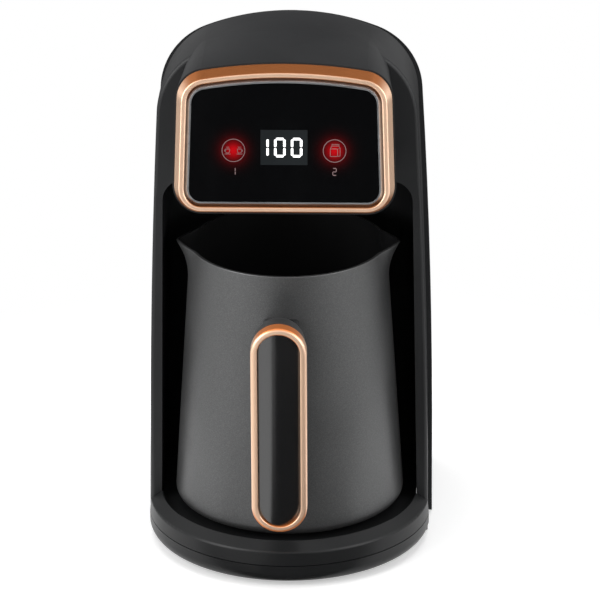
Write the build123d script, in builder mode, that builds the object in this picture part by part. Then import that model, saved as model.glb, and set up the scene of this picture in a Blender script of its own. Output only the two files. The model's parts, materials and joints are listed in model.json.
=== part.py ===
"""Electric Turkish coffee maker: arched machine with a heated recess, and its lift-out pot.

Millimetres, +Z up, X to the right, -Y towards the user. The origin is on the floor
under the middle of the whole object. Every sub-part is written to parts/ on its own.
"""
import os
from math import copysign, cos, radians, sin, sqrt, tan

from build123d import *

os.makedirs("parts", exist_ok=True)

# ---------------------------------------------------------------- driving dimensions
# Whole machine
BODY_HEIGHT = 242.0  # floor to the crown of the arch
BODY_FOOT_WIDTH = 131.6  # rear shell across the foot
COLUMN_DEPTH = 92.0  # arch front face to the back
POT_SETBACK = 7.0  # pot axis behind the arch front face
HANDLE_REACH = 80.0  # pot axis to the handle's front face
FOOT_HEIGHT = 2.0  # rubber feet under the pan

# Arch section, from the front
SIDE_BULGE_WIDTH = BODY_FOOT_WIDTH - 3.4  # across the rear shell at half height
SIDE_BULGE_HEIGHT = 105.0
SHOULDER_WIDTH = BODY_FOOT_WIDTH - 14.1  # across the corners before they are rounded
SHOULDER_DROP = 17.5  # corners below the crown
SHOULDER_RADIUS = 33.0
CROWN_LENGTH_RADIUS = 210.0  # the crown seen from the side
CROWN_SETBACK = 3.0  # highest point behind the arch front face
SHELL_STEP = 1.9  # front shell narrower than the rear shell, each side
SHELL_WALL = 2.4
EDGE_ROUND = 1.6
BACK_ROUND = 12.0
SEAM_SETBACK = 22.0  # seam behind the arch front face, at the floor
SEAM_LEAN = 10.5  # degrees, the seam leans back going up

# Recess for the pot
RECESS_FOOT_WIDTH = BODY_FOOT_WIDTH - 13.2
RECESS_TOP_WIDTH = RECESS_FOOT_WIDTH - 6.8
RECESS_TOP = BODY_HEIGHT - 68.0
RECESS_DEPTH = 62.0
RECESS_CORNER = 10.0
RECESS_BACK_CORNER = 26.0
LINER_WALL = 3.0

# Control panel, on a face that leans back
PANEL_LEAN = 10.5  # degrees
PANEL_OVERHANG = 44.5  # trim front at its lower edge, ahead of the arch front face
PANEL_HEIGHT = 65.5
PANEL_FOOT_WIDTH = BODY_FOOT_WIDTH - 34.6
PANEL_TOP_WIDTH = PANEL_FOOT_WIDTH - 4.0  # across the upper corners before they are rounded
PANEL_TOP_RISE = 5.0  # arch of the upper edge
PANEL_LOW_CORNER = 12.0
PANEL_HIGH_CORNER = 13.0
TRIM_WIDTH = 4.4
TRIM_PROUD = 5.5
TRIM_EDGE = 1.0  # straight part of the trim's side, at the hood
TRIM_SLOPE = 2.2  # the rest of the side leans in by this
TRIM_DROP = 1.2  # the front of the trim, and all inside it, sit lower than its back
TRIM_ROUND = 0.7
BEZEL_WIDTH = 2.1
BEZEL_SLOPE = 1.4
BEZEL_SUNK = 0.4
GLASS_SUNK = 0.7
HOOD_MARGIN = 0.8  # hood face round the trim
HOOD_WALL = 2.5
HOOD_ROOT = 30.0  # hood runs into the crown this far behind the arch front face
HOOD_ROOT_WIDTH = PANEL_FOOT_WIDTH - 9.0
HOOD_ROOT_RISE = 9.0
HOOD_ROOT_SINK = 1.4  # hood's end under the crown
HOOD_FLUSH = 0.3  # hood over the crown at the arch front face
HOOD_HOLLOW_SINK = 0.6  # the same place of its hollow, under the shell's inside

# Display and keys, from the middle of the panel's lower edge
WINDOW_WIDTH = 20.4
WINDOW_HEIGHT = 15.4
WINDOW_RISE = 29.5  # window centre above the panel's lower edge
DIGIT_HEIGHT = 8.6
DIGIT_WIDTH = 5.0
DIGIT_PITCH = 7.3
DIGIT_SHIFT = -1.8  # middle digit from the middle of the window
DIGIT_STROKE = 0.95
BAR_END = 0.7  # bars of a numeral end this share of a stroke early
KEY_SPREAD = 22.0  # key centres each side of the middle
KEY_RISE = 28.1
KEY_RADIUS = 5.25
KEY_LINE = 0.4
BOARD_WIDTH = 84.0
BOARD_HEIGHT = 42.0
BOARD_THICK = 1.6
BOARD_SUNK = 13.0  # board front behind the trim front
FACE_OPENING_WIDTH = 72.0
FACE_OPENING_HEIGHT = 42.0
OPENING_CORNER = 4.0
BOSS_RADIUS = 2.8
COVER_WIDTH = 70.0  # opening in the hood's underside
COVER_LIP = 3.0
COVER_CORNER = 6.0
COVER_FIT = 0.2
LENS_RADIUS = 4.5

# Base
BASE_RADIUS = BODY_FOOT_WIDTH / 2 - 1.0
BASE_LEAN = 0.6  # outside leans in going up
RING_INNER_RADIUS = BASE_RADIUS - 6.5
RING_TOP = 21.5
RING_EDGE = 17.4  # outer edge of the sloping ring top
RING_CREST_ROUND = 0.5
RING_BROW_ROUND = 1.5
BASE_SEAM = 11.0
SEAM_GAP = 0.4
PAN_ROUND = 5.0
RECESS_FLOOR = 17.5
FLOOR_THICK = 2.2
BASE_WALL = 2.4
TONGUE_WIDTH = RECESS_FOOT_WIDTH - 1.8  # part of the base inside the column
TONGUE_GAP = 0.5  # behind it
PAN_THICK = 2.2

# Heating plate and sensor
PLATE_RADIUS = 38.0
PLATE_TOP = 18.0
PLATE_THICK = 6.5
PLATE_EDGE_ROUND = 0.8
SEAL_WIDTH = 2.6
ELEMENT_RING = 30.0
ELEMENT_RADIUS = 3.0
SENSOR_RADIUS = 7.9
SHIELD_RADIUS = 47.0
SHIELD_BOSS_RING = 44.5
SHIELD_THICK = 0.8
SHIELD_UNDER = 6.0
RUNNING_GAP = 0.05
FIT = 0.05  # between pieces that lie in each other

# Pot
POT_CLEAR = 0.3  # pot foot above the heating plate
POT_HEIGHT = 124.25  # foot to rim
POT_FOOT_RADIUS = RING_INNER_RADIUS - 5.7
POT_RIM_RADIUS = POT_FOOT_RADIUS - 8.25
POT_WALL = 1.4
POT_FLOOR = 2.5
POT_PAD_RADIUS = 36.0
POT_PAD_HEIGHT = 1.7
POT_EDGE_ROUND = 4.0
POT_RING_RADIUS = POT_FOOT_RADIUS - 5.6
SPOUT_REACH = POT_RIM_RADIUS + 6.45  # lip tips from the pot axis
SPOUT_HALF_WIDTH = 14.0
SPOUT_DEPTH = 19.0
SPOUT_ROOT = 6.3  # lips start this far inside the rim
SPOUT_TIP_ROUND = 3.5

# Handle
HANDLE_X = -1.8  # middle of the handle, to the left of the pot axis
HANDLE_WIDTH = 24.6
HANDLE_HEIGHT = 99.0
HANDLE_FOOT = 34.8  # lower end above the floor
HANDLE_RING_WIDTH = 3.1
HANDLE_RING_DEPTH = 6.0
HANDLE_BACK_DEPTH = 9.5
HANDLE_INSET = 1.0
HANDLE_RING_ROUND = 1.2
INSERT_ROUND = 0.8
NECK_WIDTH = 16.0

# Fasteners: head radius, head height, shank radius
SHELL_SCREW = (3.2, 2.2, 1.45)
SMALL_SCREW = (2.5, 1.5, 1.2)

PILOT_GAP = 0.05  # screw hole over the shank
HOLE_GAP = 0.25  # clearance hole over the shank
GRIP = 4.5  # a small screw's length in its boss
TIP_GAP = 1.0  # screw hole beyond the tip

# Posts and pillars that the screws go into
POST_RADIUS = 4.0
POST_LENGTH = 9.0  # posts for the rear shell, behind the liner
UPPER_POST_X = BODY_FOOT_WIDTH / 2 - 25.8
UPPER_POST_Z = RECESS_TOP + 13.0
LOWER_POST_X = BODY_FOOT_WIDTH / 2 - 21.8
LOWER_POST_Z = 32.0
UPPER_POST_START = 52.0  # behind the arch front face
RIB_THICK = 3.0
WELL_DEPTH = 12.0  # screw wells in the back
WELL_RADIUS = 3.5
WELL_WALL = 1.8
REAR_PILLAR_X = 30.0
REAR_PILLAR_SETBACK = 6.0  # behind the liner
REAR_PILLAR_TOP = 30.0
FRONT_PILLAR_RING = BASE_RADIUS - 11.0
FRONT_PILLAR_ANGLE = 31.3  # degrees ahead of the sides
FRONT_PILLAR_HOLE = 7.0
PILLAR_FOOT = 9.0  # pillars stand on the pan's bosses at this height
BASE_SCREW_SEAT = 6.6
BASE_SCREW_LENGTH = 9.0

# Back
VENT_HEIGHT = 150.0
VENT_PITCH = 7.0
VENT_LENGTH = 44.0
VENT_WIDTH = 2.4
VENT_COUNT = 5
GLAND_HEIGHT = 26.0
GLAND_FLANGE_RADIUS = 8.0
GLAND_FLANGE_THICK = 1.2
GLAND_RADIUS = 6.0
GLAND_BORE = 3.6
GLAND_LENGTH = 16.0
GLAND_GAP = 0.1
NUT_RADIUS = 9.5
NUT_THICK = 4.0

# Feet and pan
FOOT_RADIUS = 6.0
FOOT_PEG = 2.0
FOOT_EDGE_ROUND = 0.5
FRONT_FOOT_RING = BASE_RADIUS - 13.8
FRONT_FOOT_ANGLE = 48.2  # degrees ahead of the sides
REAR_FOOT = (BODY_FOOT_WIDTH / 2 - 17.8, 14.0)  # x, and ahead of the back
LIP_HEIGHT = 3.0  # base top's lip inside the pan
LIP_GAP = 0.2
LIP_THICK = 2.0
PAN_BACK_WIDTH = BODY_FOOT_WIDTH - 6.0

# Power board behind the liner
POWER_BOARD_WIDTH = 76.0
POWER_BOARD_HEIGHT = 84.0
POWER_BOARD_Z = 90.0  # its centre above the floor
POWER_BOARD_GAP = 5.5
POWER_SCREW_INSET = 5.0
# left, lower and right, upper corners on the board, and depth
TRANSFORMER = (-34.0, 92.0, -4.0, 120.0, 15.0)
TRANSFORMER_ROUND = 2.0
RELAY = (4.0, 70.0, 23.0, 88.0, 15.0)
TERMINALS = (-16.0, 50.0, 16.0, 60.0, 10.0)
POWER_HEADER = (20.0, 119.0, 30.0, 128.0, 9.0)
CAPACITOR_RADIUS = 6.5
CAPACITOR_LENGTH = 14.0
CAPACITOR_ROUND = 1.0
CAPACITOR_PLACE = (20.0, 76.0)  # x counted to the left, as seen from the back

# Parts of the display board
LED_RADIUS = 1.5
LED_LENGTH = 4.0
KEY_SPRING_RADIUS = 3.6
KEY_SPRING_PITCH = 1.8
KEY_SPRING_WIRE = 0.3
BUZZER_RADIUS = 6.0
BUZZER_LENGTH = 5.5
BUZZER_HOLE = (1.5, 1.0)  # radius and depth
BUZZER_PLACE = (-24.0, 40.0)
HEADER_PLACE = (25.0, 17.0)
HEADER_SIZE = (10.0, 6.0, 5.5)
PRINT_HEIGHT = 0.06
DIGIT_PROUD = 0.15
MODULE_PROUD = 0.05
CUP_WIDTH = 2.2
CARTON_WIDTH = 3.6
CARTON_HEIGHT = 4.4
CARTON_ROOF = 1.2
MARK_DROP = 9.2  # plain numerals under the keys, below the key centres
MARK_HEIGHT = 3.4
MARK_WIDTH = 2.0

# Boil sensor over the pot
COVER_THICK = 1.6
SENSOR_POST_X = 10.0
SENSOR_POST_LENGTH = 4.0
SENSOR_BOARD = (28.0, 16.0)
SENSOR_CHIP = 6.0
LENS_THICK = 5.0
LENS_FLANGE_RADIUS = 5.8
LENS_FLANGE_THICK = 0.4

# Parts under the heating plate
STANDOFF_RING = 20.0
STANDOFF_RADIUS = 3.0
SHIELD_BOSS_RADIUS = 2.8
SEAL_FLANGE = 3.6
CUP_RADIUS = 11.5  # heat shield's cup under the sensor
CUP_FLOOR = 4.6
CAP_FLANGE_RADIUS = 9.6
CAP_FLANGE_LOW = 10.0
CAP_FLANGE_HIGH = 11.2
CAP_WALL = 1.2
CAP_EDGE_ROUND = 0.6
SPRING_WIRE = 0.35
SPRING_TURNS = 4
ELEMENT_GAP_HALF_ANGLE = 20.0  # degrees, the heater's open end towards the back
PIN_RADIUS = 1.5
PIN_FOOT = 7.0
WIRE_RADIUS = 0.9
WIRE_X = 10.2
WIRE_Z = 8.3
WIRE_ENTRY = 4.0  # depth of the holes in the terminal block
WIRE_END_GAP = 1.0
FUSE_RADIUS = 2.0
FUSE_LENGTH = 14.0
FUSE_LEAD = 8.0
FUSE_LEAD_RADIUS = 0.5
FUSE_AHEAD = 18.0  # ahead of the pot axis
CABLE_RADIUS = 1.6
CABLE_X = 25.0
CABLE_Z = RECESS_TOP + 16.0
CABLE_DROP_Y = 67.5
CABLE_GAP = 0.4  # cable over the header's end
BEND = 4.0
SHIELD_SCREW_LENGTH = 5.0

# Neck of the pot's handle
NECK_LOW = (103.0, 110.0)  # underside at the pot, at the handle
NECK_HIGH = (122.5, 127.0)
BRACKET_LOW = 112.0
BRACKET_HIGH = 120.0
BRACKET_WIDTH = 10.0
HANDLE_BACK_ROUND = 4.0
INSERT_SUNK = 1.2
HANDLE_SCREW_WELL = 3.0
HANDLE_SCREW_SPARE = 6.15  # bracket left beyond the screw

# ---------------------------------------------------------------- derived places
REACH = 300.0  # longer than anything that is cut
SPARE = 6.0  # bodies run this far past a place where they are trimmed
PAST = 1.0  # cuts run this far past a face
TOTAL_DEPTH = COLUMN_DEPTH - POT_SETBACK + HANDLE_REACH
BACK_Y = TOTAL_DEPTH / 2
FRONT_Y = BACK_Y - COLUMN_DEPTH
POT_Y = FRONT_Y + POT_SETBACK
HANDLE_FRONT_Y = POT_Y - HANDLE_REACH
CROWN_Y = FRONT_Y + CROWN_SETBACK
BACK_INNER_Y = BACK_Y - SHELL_WALL
RECESS_BACK_Y = FRONT_Y + RECESS_DEPTH
LINER_BACK_Y = RECESS_BACK_Y + LINER_WALL
POST_END_Y = LINER_BACK_Y + POST_LENGTH
HEAD_SEAT_Y = BACK_Y - WELL_DEPTH
SEAM_TOP_Y = FRONT_Y + SEAM_SETBACK + BODY_HEIGHT * tan(radians(SEAM_LEAN)) + SPARE
TONGUE_BACK_Y = BACK_INNER_Y - TONGUE_GAP
PAN_TOP = FOOT_HEIGHT + PAN_THICK
FLOOR_UNDER = RECESS_FLOOR - FLOOR_THICK
SHIELD_TOP = SHIELD_UNDER + SHIELD_THICK
PLATE_UNDER = PLATE_TOP - PLATE_THICK
POWER_BOARD_Y = LINER_BACK_Y + POWER_BOARD_GAP
BOARD_MIDDLE = PANEL_HEIGHT / 2
HANDLE_SCREW_LENGTH = (
    HANDLE_REACH - HANDLE_RING_DEPTH - HANDLE_BACK_DEPTH - POT_RIM_RADIUS - HANDLE_SCREW_SPARE
)

PANEL = Plane(
    origin=(0, FRONT_Y - PANEL_OVERHANG, RECESS_TOP + HOOD_MARGIN),
    x_dir=(1, 0, 0),
    z_dir=(0, -cos(radians(PANEL_LEAN)), sin(radians(PANEL_LEAN))),
)
HOOD_FACE = PANEL.offset(-TRIM_PROUD)
HOOD_BACK_FACE = PANEL.offset(-TRIM_PROUD - HOOD_WALL)
GLASS_FACE = PANEL.offset(-GLASS_SUNK)
BOARD_FACE = PANEL.offset(-BOARD_SUNK)
BOARD_BACK_FACE = PANEL.offset(-BOARD_SUNK - BOARD_THICK)
SEAM_PLANE = Plane(
    origin=(0, FRONT_Y + SEAM_SETBACK, 0),
    x_dir=(1, 0, 0),
    z_dir=(0, -cos(radians(SEAM_LEAN)), sin(radians(SEAM_LEAN))),
)
PANEL_AXIS = Axis(PANEL.origin, PANEL.z_dir)
POT_AXIS = Axis((0, POT_Y, 0), (0, 0, 1))
POT_FOOT_Z = PLATE_TOP + POT_CLEAR
POT_BOTTOM_Z = POT_FOOT_Z + POT_PAD_HEIGHT
POT_RIM_Z = POT_FOOT_Z + POT_HEIGHT


def export(node, name):
    """Labels a finished sub-part and writes its STEP file."""
    node.part.label = name
    export_step(node.part, f"parts/{name}.step")


# ---------------------------------------------------------------- shared shapes
def crown_z(y):
    """Height of the rear shell's crown at a depth, on its lengthwise arc."""
    fall = CROWN_LENGTH_RADIUS - sqrt(CROWN_LENGTH_RADIUS**2 - (y - CROWN_Y) ** 2)
    return BODY_HEIGHT - fall


def arch_section(narrow, inset, y):
    """Face of the arch at one depth, narrowed at the sides and then set in all round."""
    crown = crown_z(y)
    foot = BODY_FOOT_WIDTH / 2 - narrow
    shoulder = SHOULDER_WIDTH / 2 - narrow
    bulge = SIDE_BULGE_WIDTH / 2 - narrow
    corner = crown - SHOULDER_DROP
    plane = facing_front(y)
    with BuildSketch(plane) as section:
        with BuildLine():
            Line((-foot, -SPARE), (foot, -SPARE))
            ThreePointArc((foot, -SPARE), (bulge, SIDE_BULGE_HEIGHT), (shoulder, corner))
            ThreePointArc((shoulder, corner), (0, crown), (-shoulder, corner))
            ThreePointArc((-shoulder, corner), (-bulge, SIDE_BULGE_HEIGHT), (-foot, -SPARE))
        make_face()
        fillet(section.vertices().group_by(Axis.Y)[-1], SHOULDER_RADIUS)
        if inset:
            offset(amount=-inset, kind=Kind.INTERSECTION, mode=Mode.REPLACE)
    return section.sketch


def arch_solid(narrow, inset, y_from, y_to, back_round=0.0):
    """The arch between two depths, its crown falling away on the lengthwise arc."""
    y_mid = (y_from + y_to) / 2
    with BuildPart() as solid:
        for y in (y_from, y_mid, y_to):
            add(arch_section(narrow, inset, y))
        loft()
        if back_round:
            back_edges = solid.faces().sort_by(Axis.Y)[-1].edges()
            fillet(back_edges.sort_by(Axis.Z)[1:], back_round)
    return solid.part


def panel_outline(inset):
    """Outline of the control panel, set in from the trim's outside."""
    foot = PANEL_FOOT_WIDTH / 2
    top = PANEL_TOP_WIDTH / 2
    corner = PANEL_HEIGHT - PANEL_TOP_RISE
    with BuildSketch(mode=Mode.PRIVATE) as outline:
        with BuildLine():
            Line((-foot, 0), (foot, 0))
            Line((foot, 0), (top, corner))
            ThreePointArc((top, corner), (0, PANEL_HEIGHT), (-top, corner))
            Line((-top, corner), (-foot, 0))
        make_face()
        rows = outline.vertices().group_by(Axis.Y)
        fillet(rows[-1], PANEL_HIGH_CORNER)
        fillet(outline.vertices().group_by(Axis.Y)[0], PANEL_LOW_CORNER)
        if inset:
            offset(amount=-inset, mode=Mode.REPLACE)
    return outline.sketch


def face_outline(inset):
    """The same outline on the front of the trim, which sits lower than its back."""
    return Pos(0, -TRIM_DROP) * panel_outline(inset)


def stadium(width, height, inset=0.0, mode=Mode.ADD):
    """Upright slot shape of the handle, set in all round."""
    SlotOverall(height - 2 * inset, width - 2 * inset, rotation=90, mode=mode)


def post(plane, points, radius, length, mode=Mode.ADD):
    """Round posts, or holes, at points of a plane; a negative length runs behind it."""
    with BuildSketch(plane) as discs:
        with Locations(*points):
            Circle(radius)
    extrude(discs.sketch, amount=length, mode=mode)


def block(low, high, mode=Mode.ADD):
    """A box between two corners."""
    middle = [(a + b) / 2 for a, b in zip(low, high)]
    with Locations(tuple(middle)):
        Box(*[b - a for a, b in zip(low, high)], mode=mode)


def screws(seat, points, head, length):
    """Pan-head screws at points of a seat plane, the shanks running behind it.

    With a negative length the shanks run in front of the plane instead.
    """
    head_radius, head_height, shank_radius = head
    post(seat, points, head_radius, copysign(head_height, length))
    post(seat, points, shank_radius, -length)


def ring(plane, centre, inner, outer, length, mode=Mode.ADD):
    """A round sleeve or washer about one point of a plane."""
    with BuildSketch(plane) as washer:
        with Locations(centre):
            Circle(outer)
            Circle(inner, mode=Mode.SUBTRACT)
    extrude(washer.sketch, amount=length, mode=mode)


def facing_back(y, z=0.0):
    """Upright plane that faces the back, for what stands on a board or wall there."""
    return Plane(origin=(0, y, z), x_dir=(-1, 0, 0), z_dir=(0, 1, 0))


def facing_front(y, z=0.0):
    """Upright plane that faces the user."""
    return Plane(origin=(0, y, z), x_dir=(1, 0, 0), z_dir=(0, -1, 0))


def trim_below(height):
    """Cuts away everything below a height."""
    block((-REACH, -REACH, -REACH), (REACH, REACH, height), mode=Mode.SUBTRACT)


def recess_solid(grow, y_from, y_to, back_corner):
    """The pot recess as a solid, grown all round, with rounded back corners."""
    foot = RECESS_FOOT_WIDTH / 2
    top = RECESS_TOP_WIDTH / 2
    plane = facing_front(y_from)
    with BuildPart() as solid:
        with BuildSketch(plane) as outline:
            with BuildLine():
                Polyline(
                    (-foot, -SPARE),
                    (foot, -SPARE),
                    (top, RECESS_TOP),
                    (-top, RECESS_TOP),
                    close=True,
                )
            make_face()
            fillet(outline.vertices().group_by(Axis.Y)[-1], RECESS_CORNER)
            if grow:
                offset(amount=grow, mode=Mode.REPLACE)
        extrude(amount=-(y_to - y_from))
        back = solid.faces().sort_by(Axis.Y)[-1].edges()
        uprights = back.filter_by(lambda e: e.length > RECESS_TOP / 2 and abs(e.center().X) > 1)
        fillet(uprights, back_corner)
    return solid.part


def hood_section(y, sink, grow):
    """The hood across at one depth, its top along the crown and sunk under it."""
    floor_z = RECESS_TOP + HOOD_MARGIN
    foot = PANEL_FOOT_WIDTH / 2
    top = HOOD_ROOT_WIDTH / 2
    height = crown_z(y) - sink - HOOD_MARGIN - floor_z
    corner = height - HOOD_ROOT_RISE
    with BuildSketch(mode=Mode.PRIVATE) as section:
        with BuildLine():
            Line((-foot, 0), (foot, 0))
            Line((foot, 0), (top, corner))
            ThreePointArc((top, corner), (0, height), (-top, corner))
            Line((-top, corner), (-foot, 0))
        make_face()
        fillet(section.vertices().group_by(Axis.Y)[-1], PANEL_HIGH_CORNER)
        fillet(section.vertices().group_by(Axis.Y)[0], PANEL_LOW_CORNER)
        offset(amount=grow, mode=Mode.REPLACE)
    return facing_front(y, floor_z) * section.sketch


def hood_solid(grow, face_plane, front_sink):
    """The hood from its leaning face back into the crown, grown all round."""
    with BuildPart() as solid:
        add(face_plane * panel_outline(-grow))
        add(hood_section(FRONT_Y, front_sink, grow))
        add(hood_section(FRONT_Y + HOOD_ROOT, HOOD_ROOT_SINK, grow))
        loft()
    return solid.part


def recess_slab(low, high):
    """Floor of the recess, just clear of the liner."""
    depth_clear = RECESS_BACK_Y - POT_CLEAR
    with BuildPart() as slab:
        add(recess_solid(-POT_CLEAR, FRONT_Y - PAST, depth_clear, RECESS_BACK_CORNER - POT_CLEAR))
        block((-REACH, -REACH, low), (REACH, REACH, high), mode=Mode.INTERSECT)
    return slab.part


def ring_points(radius, angles):
    """Points at angles round the pot axis, anticlockwise from the right."""
    return [(radius * cos(radians(a)), POT_Y + radius * sin(radians(a))) for a in angles]


def on_board(corners):
    """A box on the back of the power board, from its corners there and its depth."""
    left, low, right, high, depth = corners
    rear = POWER_BOARD_Y + BOARD_THICK
    block((left, rear, low), (right, rear + depth, high))


def numeral(width, height, stroke, bars):
    """Seven-segment numeral made of the bars a to g."""
    x = (width - stroke) / 2
    y = (height - stroke) / 2
    across = width - (1 + BAR_END) * stroke
    upright = y - BAR_END * stroke
    places = {
        "a": (0, y, across, stroke),
        "b": (x, y / 2, stroke, upright),
        "c": (x, -y / 2, stroke, upright),
        "d": (0, -y, across, stroke),
        "e": (-x, -y / 2, stroke, upright),
        "f": (-x, y / 2, stroke, upright),
        "g": (0, 0, across, stroke),
    }
    with BuildSketch(mode=Mode.PRIVATE) as shape:
        for bar in bars:
            bar_x, bar_y, bar_width, bar_height = places[bar]
            with Locations((bar_x, bar_y)):
                Rectangle(bar_width, bar_height)
    return shape.sketch


def pot_radius(z):
    """Outside radius of the pot at a height above the floor."""
    share = (z - POT_BOTTOM_Z) / (POT_RIM_Z - POT_BOTTOM_Z)
    return POT_FOOT_RADIUS + (POT_RIM_RADIUS - POT_FOOT_RADIUS) * share


def spout_solid(inset):
    """One pouring lip with its channel's wall set in, pointing right."""
    x_in = POT_RIM_RADIUS - SPOUT_ROOT
    half = SPOUT_HALF_WIDTH - inset
    x_wall = sqrt(POT_RIM_RADIUS**2 - SPOUT_HALF_WIDTH**2)
    with BuildSketch(Plane.XY.offset(POT_RIM_Z)) as lip:
        with Locations((0, POT_Y)):
            Polygon(
                (x_in, -half),
                (x_wall, -half),
                (SPOUT_REACH - inset, 0),
                (x_wall, half),
                (x_in, half),
                align=None,
            )
        tip = lip.vertices().sort_by(Axis.X)[-1]
        fillet(tip, SPOUT_TIP_ROUND)
    apex_z = POT_RIM_Z - SPOUT_DEPTH + inset
    apex = Vertex(pot_radius(apex_z) - inset - FIT, POT_Y, apex_z)
    with BuildPart() as spout:
        loft(sections=[lip.sketch, apex])
    return spout.part


def pot_cone():
    """The pot's outside as a plain cone, to fit the handle's pieces against."""
    with BuildPart() as cone:
        with BuildSketch(facing_front(POT_Y)):
            Polygon(
                (0, POT_BOTTOM_Z),
                (POT_FOOT_RADIUS, POT_BOTTOM_Z),
                (POT_RIM_RADIUS, POT_RIM_Z),
                (0, POT_RIM_Z),
                align=None,
            )
        revolve(axis=POT_AXIS)
    return cone.part


# ---------------------------------------------------------------- places of the fasteners
BOARD_POINTS = [
    (side * (BOARD_WIDTH / 2 - BOSS_RADIUS), BOARD_MIDDLE + row * (BOARD_HEIGHT / 2 - BOSS_RADIUS))
    for side in (-1, 1)
    for row in (-1, 1)
]
POWER_POINTS = [
    (
        side * (POWER_BOARD_WIDTH / 2 - POWER_SCREW_INSET),
        POWER_BOARD_Z + row * (POWER_BOARD_HEIGHT / 2 - POWER_SCREW_INSET),
    )
    for side in (-1, 1)
    for row in (-1, 1)
]
UPPER_POSTS = [(side * UPPER_POST_X, UPPER_POST_Z) for side in (-1, 1)]
LOWER_POSTS = [(side * LOWER_POST_X, LOWER_POST_Z) for side in (-1, 1)]
REAR_POSTS = UPPER_POSTS + LOWER_POSTS
REAR_PILLARS = [(side * REAR_PILLAR_X, LINER_BACK_Y + REAR_PILLAR_SETBACK) for side in (-1, 1)]
FRONT_PILLARS = ring_points(
    FRONT_PILLAR_RING, (FRONT_PILLAR_ANGLE - 180, -FRONT_PILLAR_ANGLE)
)
PILLARS = REAR_PILLARS + FRONT_PILLARS
FEET = ring_points(FRONT_FOOT_RING, (FRONT_FOOT_ANGLE - 180, -FRONT_FOOT_ANGLE))
FEET += [(side * REAR_FOOT[0], BACK_Y - REAR_FOOT[1]) for side in (-1, 1)]
SHIELD_POINTS = ring_points(SHIELD_BOSS_RING, (30, 150, 270))
GLAND_PLACE = [(0.0, GLAND_HEIGHT)]
BACK_FACE = facing_back(BACK_Y)
SMALL_PILOT = SMALL_SCREW[2] + PILOT_GAP
SMALL_HOLE = SMALL_SCREW[2] + HOLE_GAP
SHELL_PILOT = SHELL_SCREW[2] + PILOT_GAP
SHELL_HOLE = SHELL_SCREW[2] + HOLE_GAP

# ---------------------------------------------------------------- housing
COVER_FRONT_Y = FRONT_Y - PANEL_OVERHANG + TRIM_PROUD + 2 * HOOD_WALL
COVER_BACK_Y = RECESS_BACK_Y - RECESS_BACK_CORNER
COVER_DEPTH = COVER_BACK_Y - COVER_FRONT_Y
COVER_MIDDLE_Y = (COVER_FRONT_Y + COVER_BACK_Y) / 2
UNDERSIDE = Plane.XY.offset(RECESS_TOP)

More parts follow.
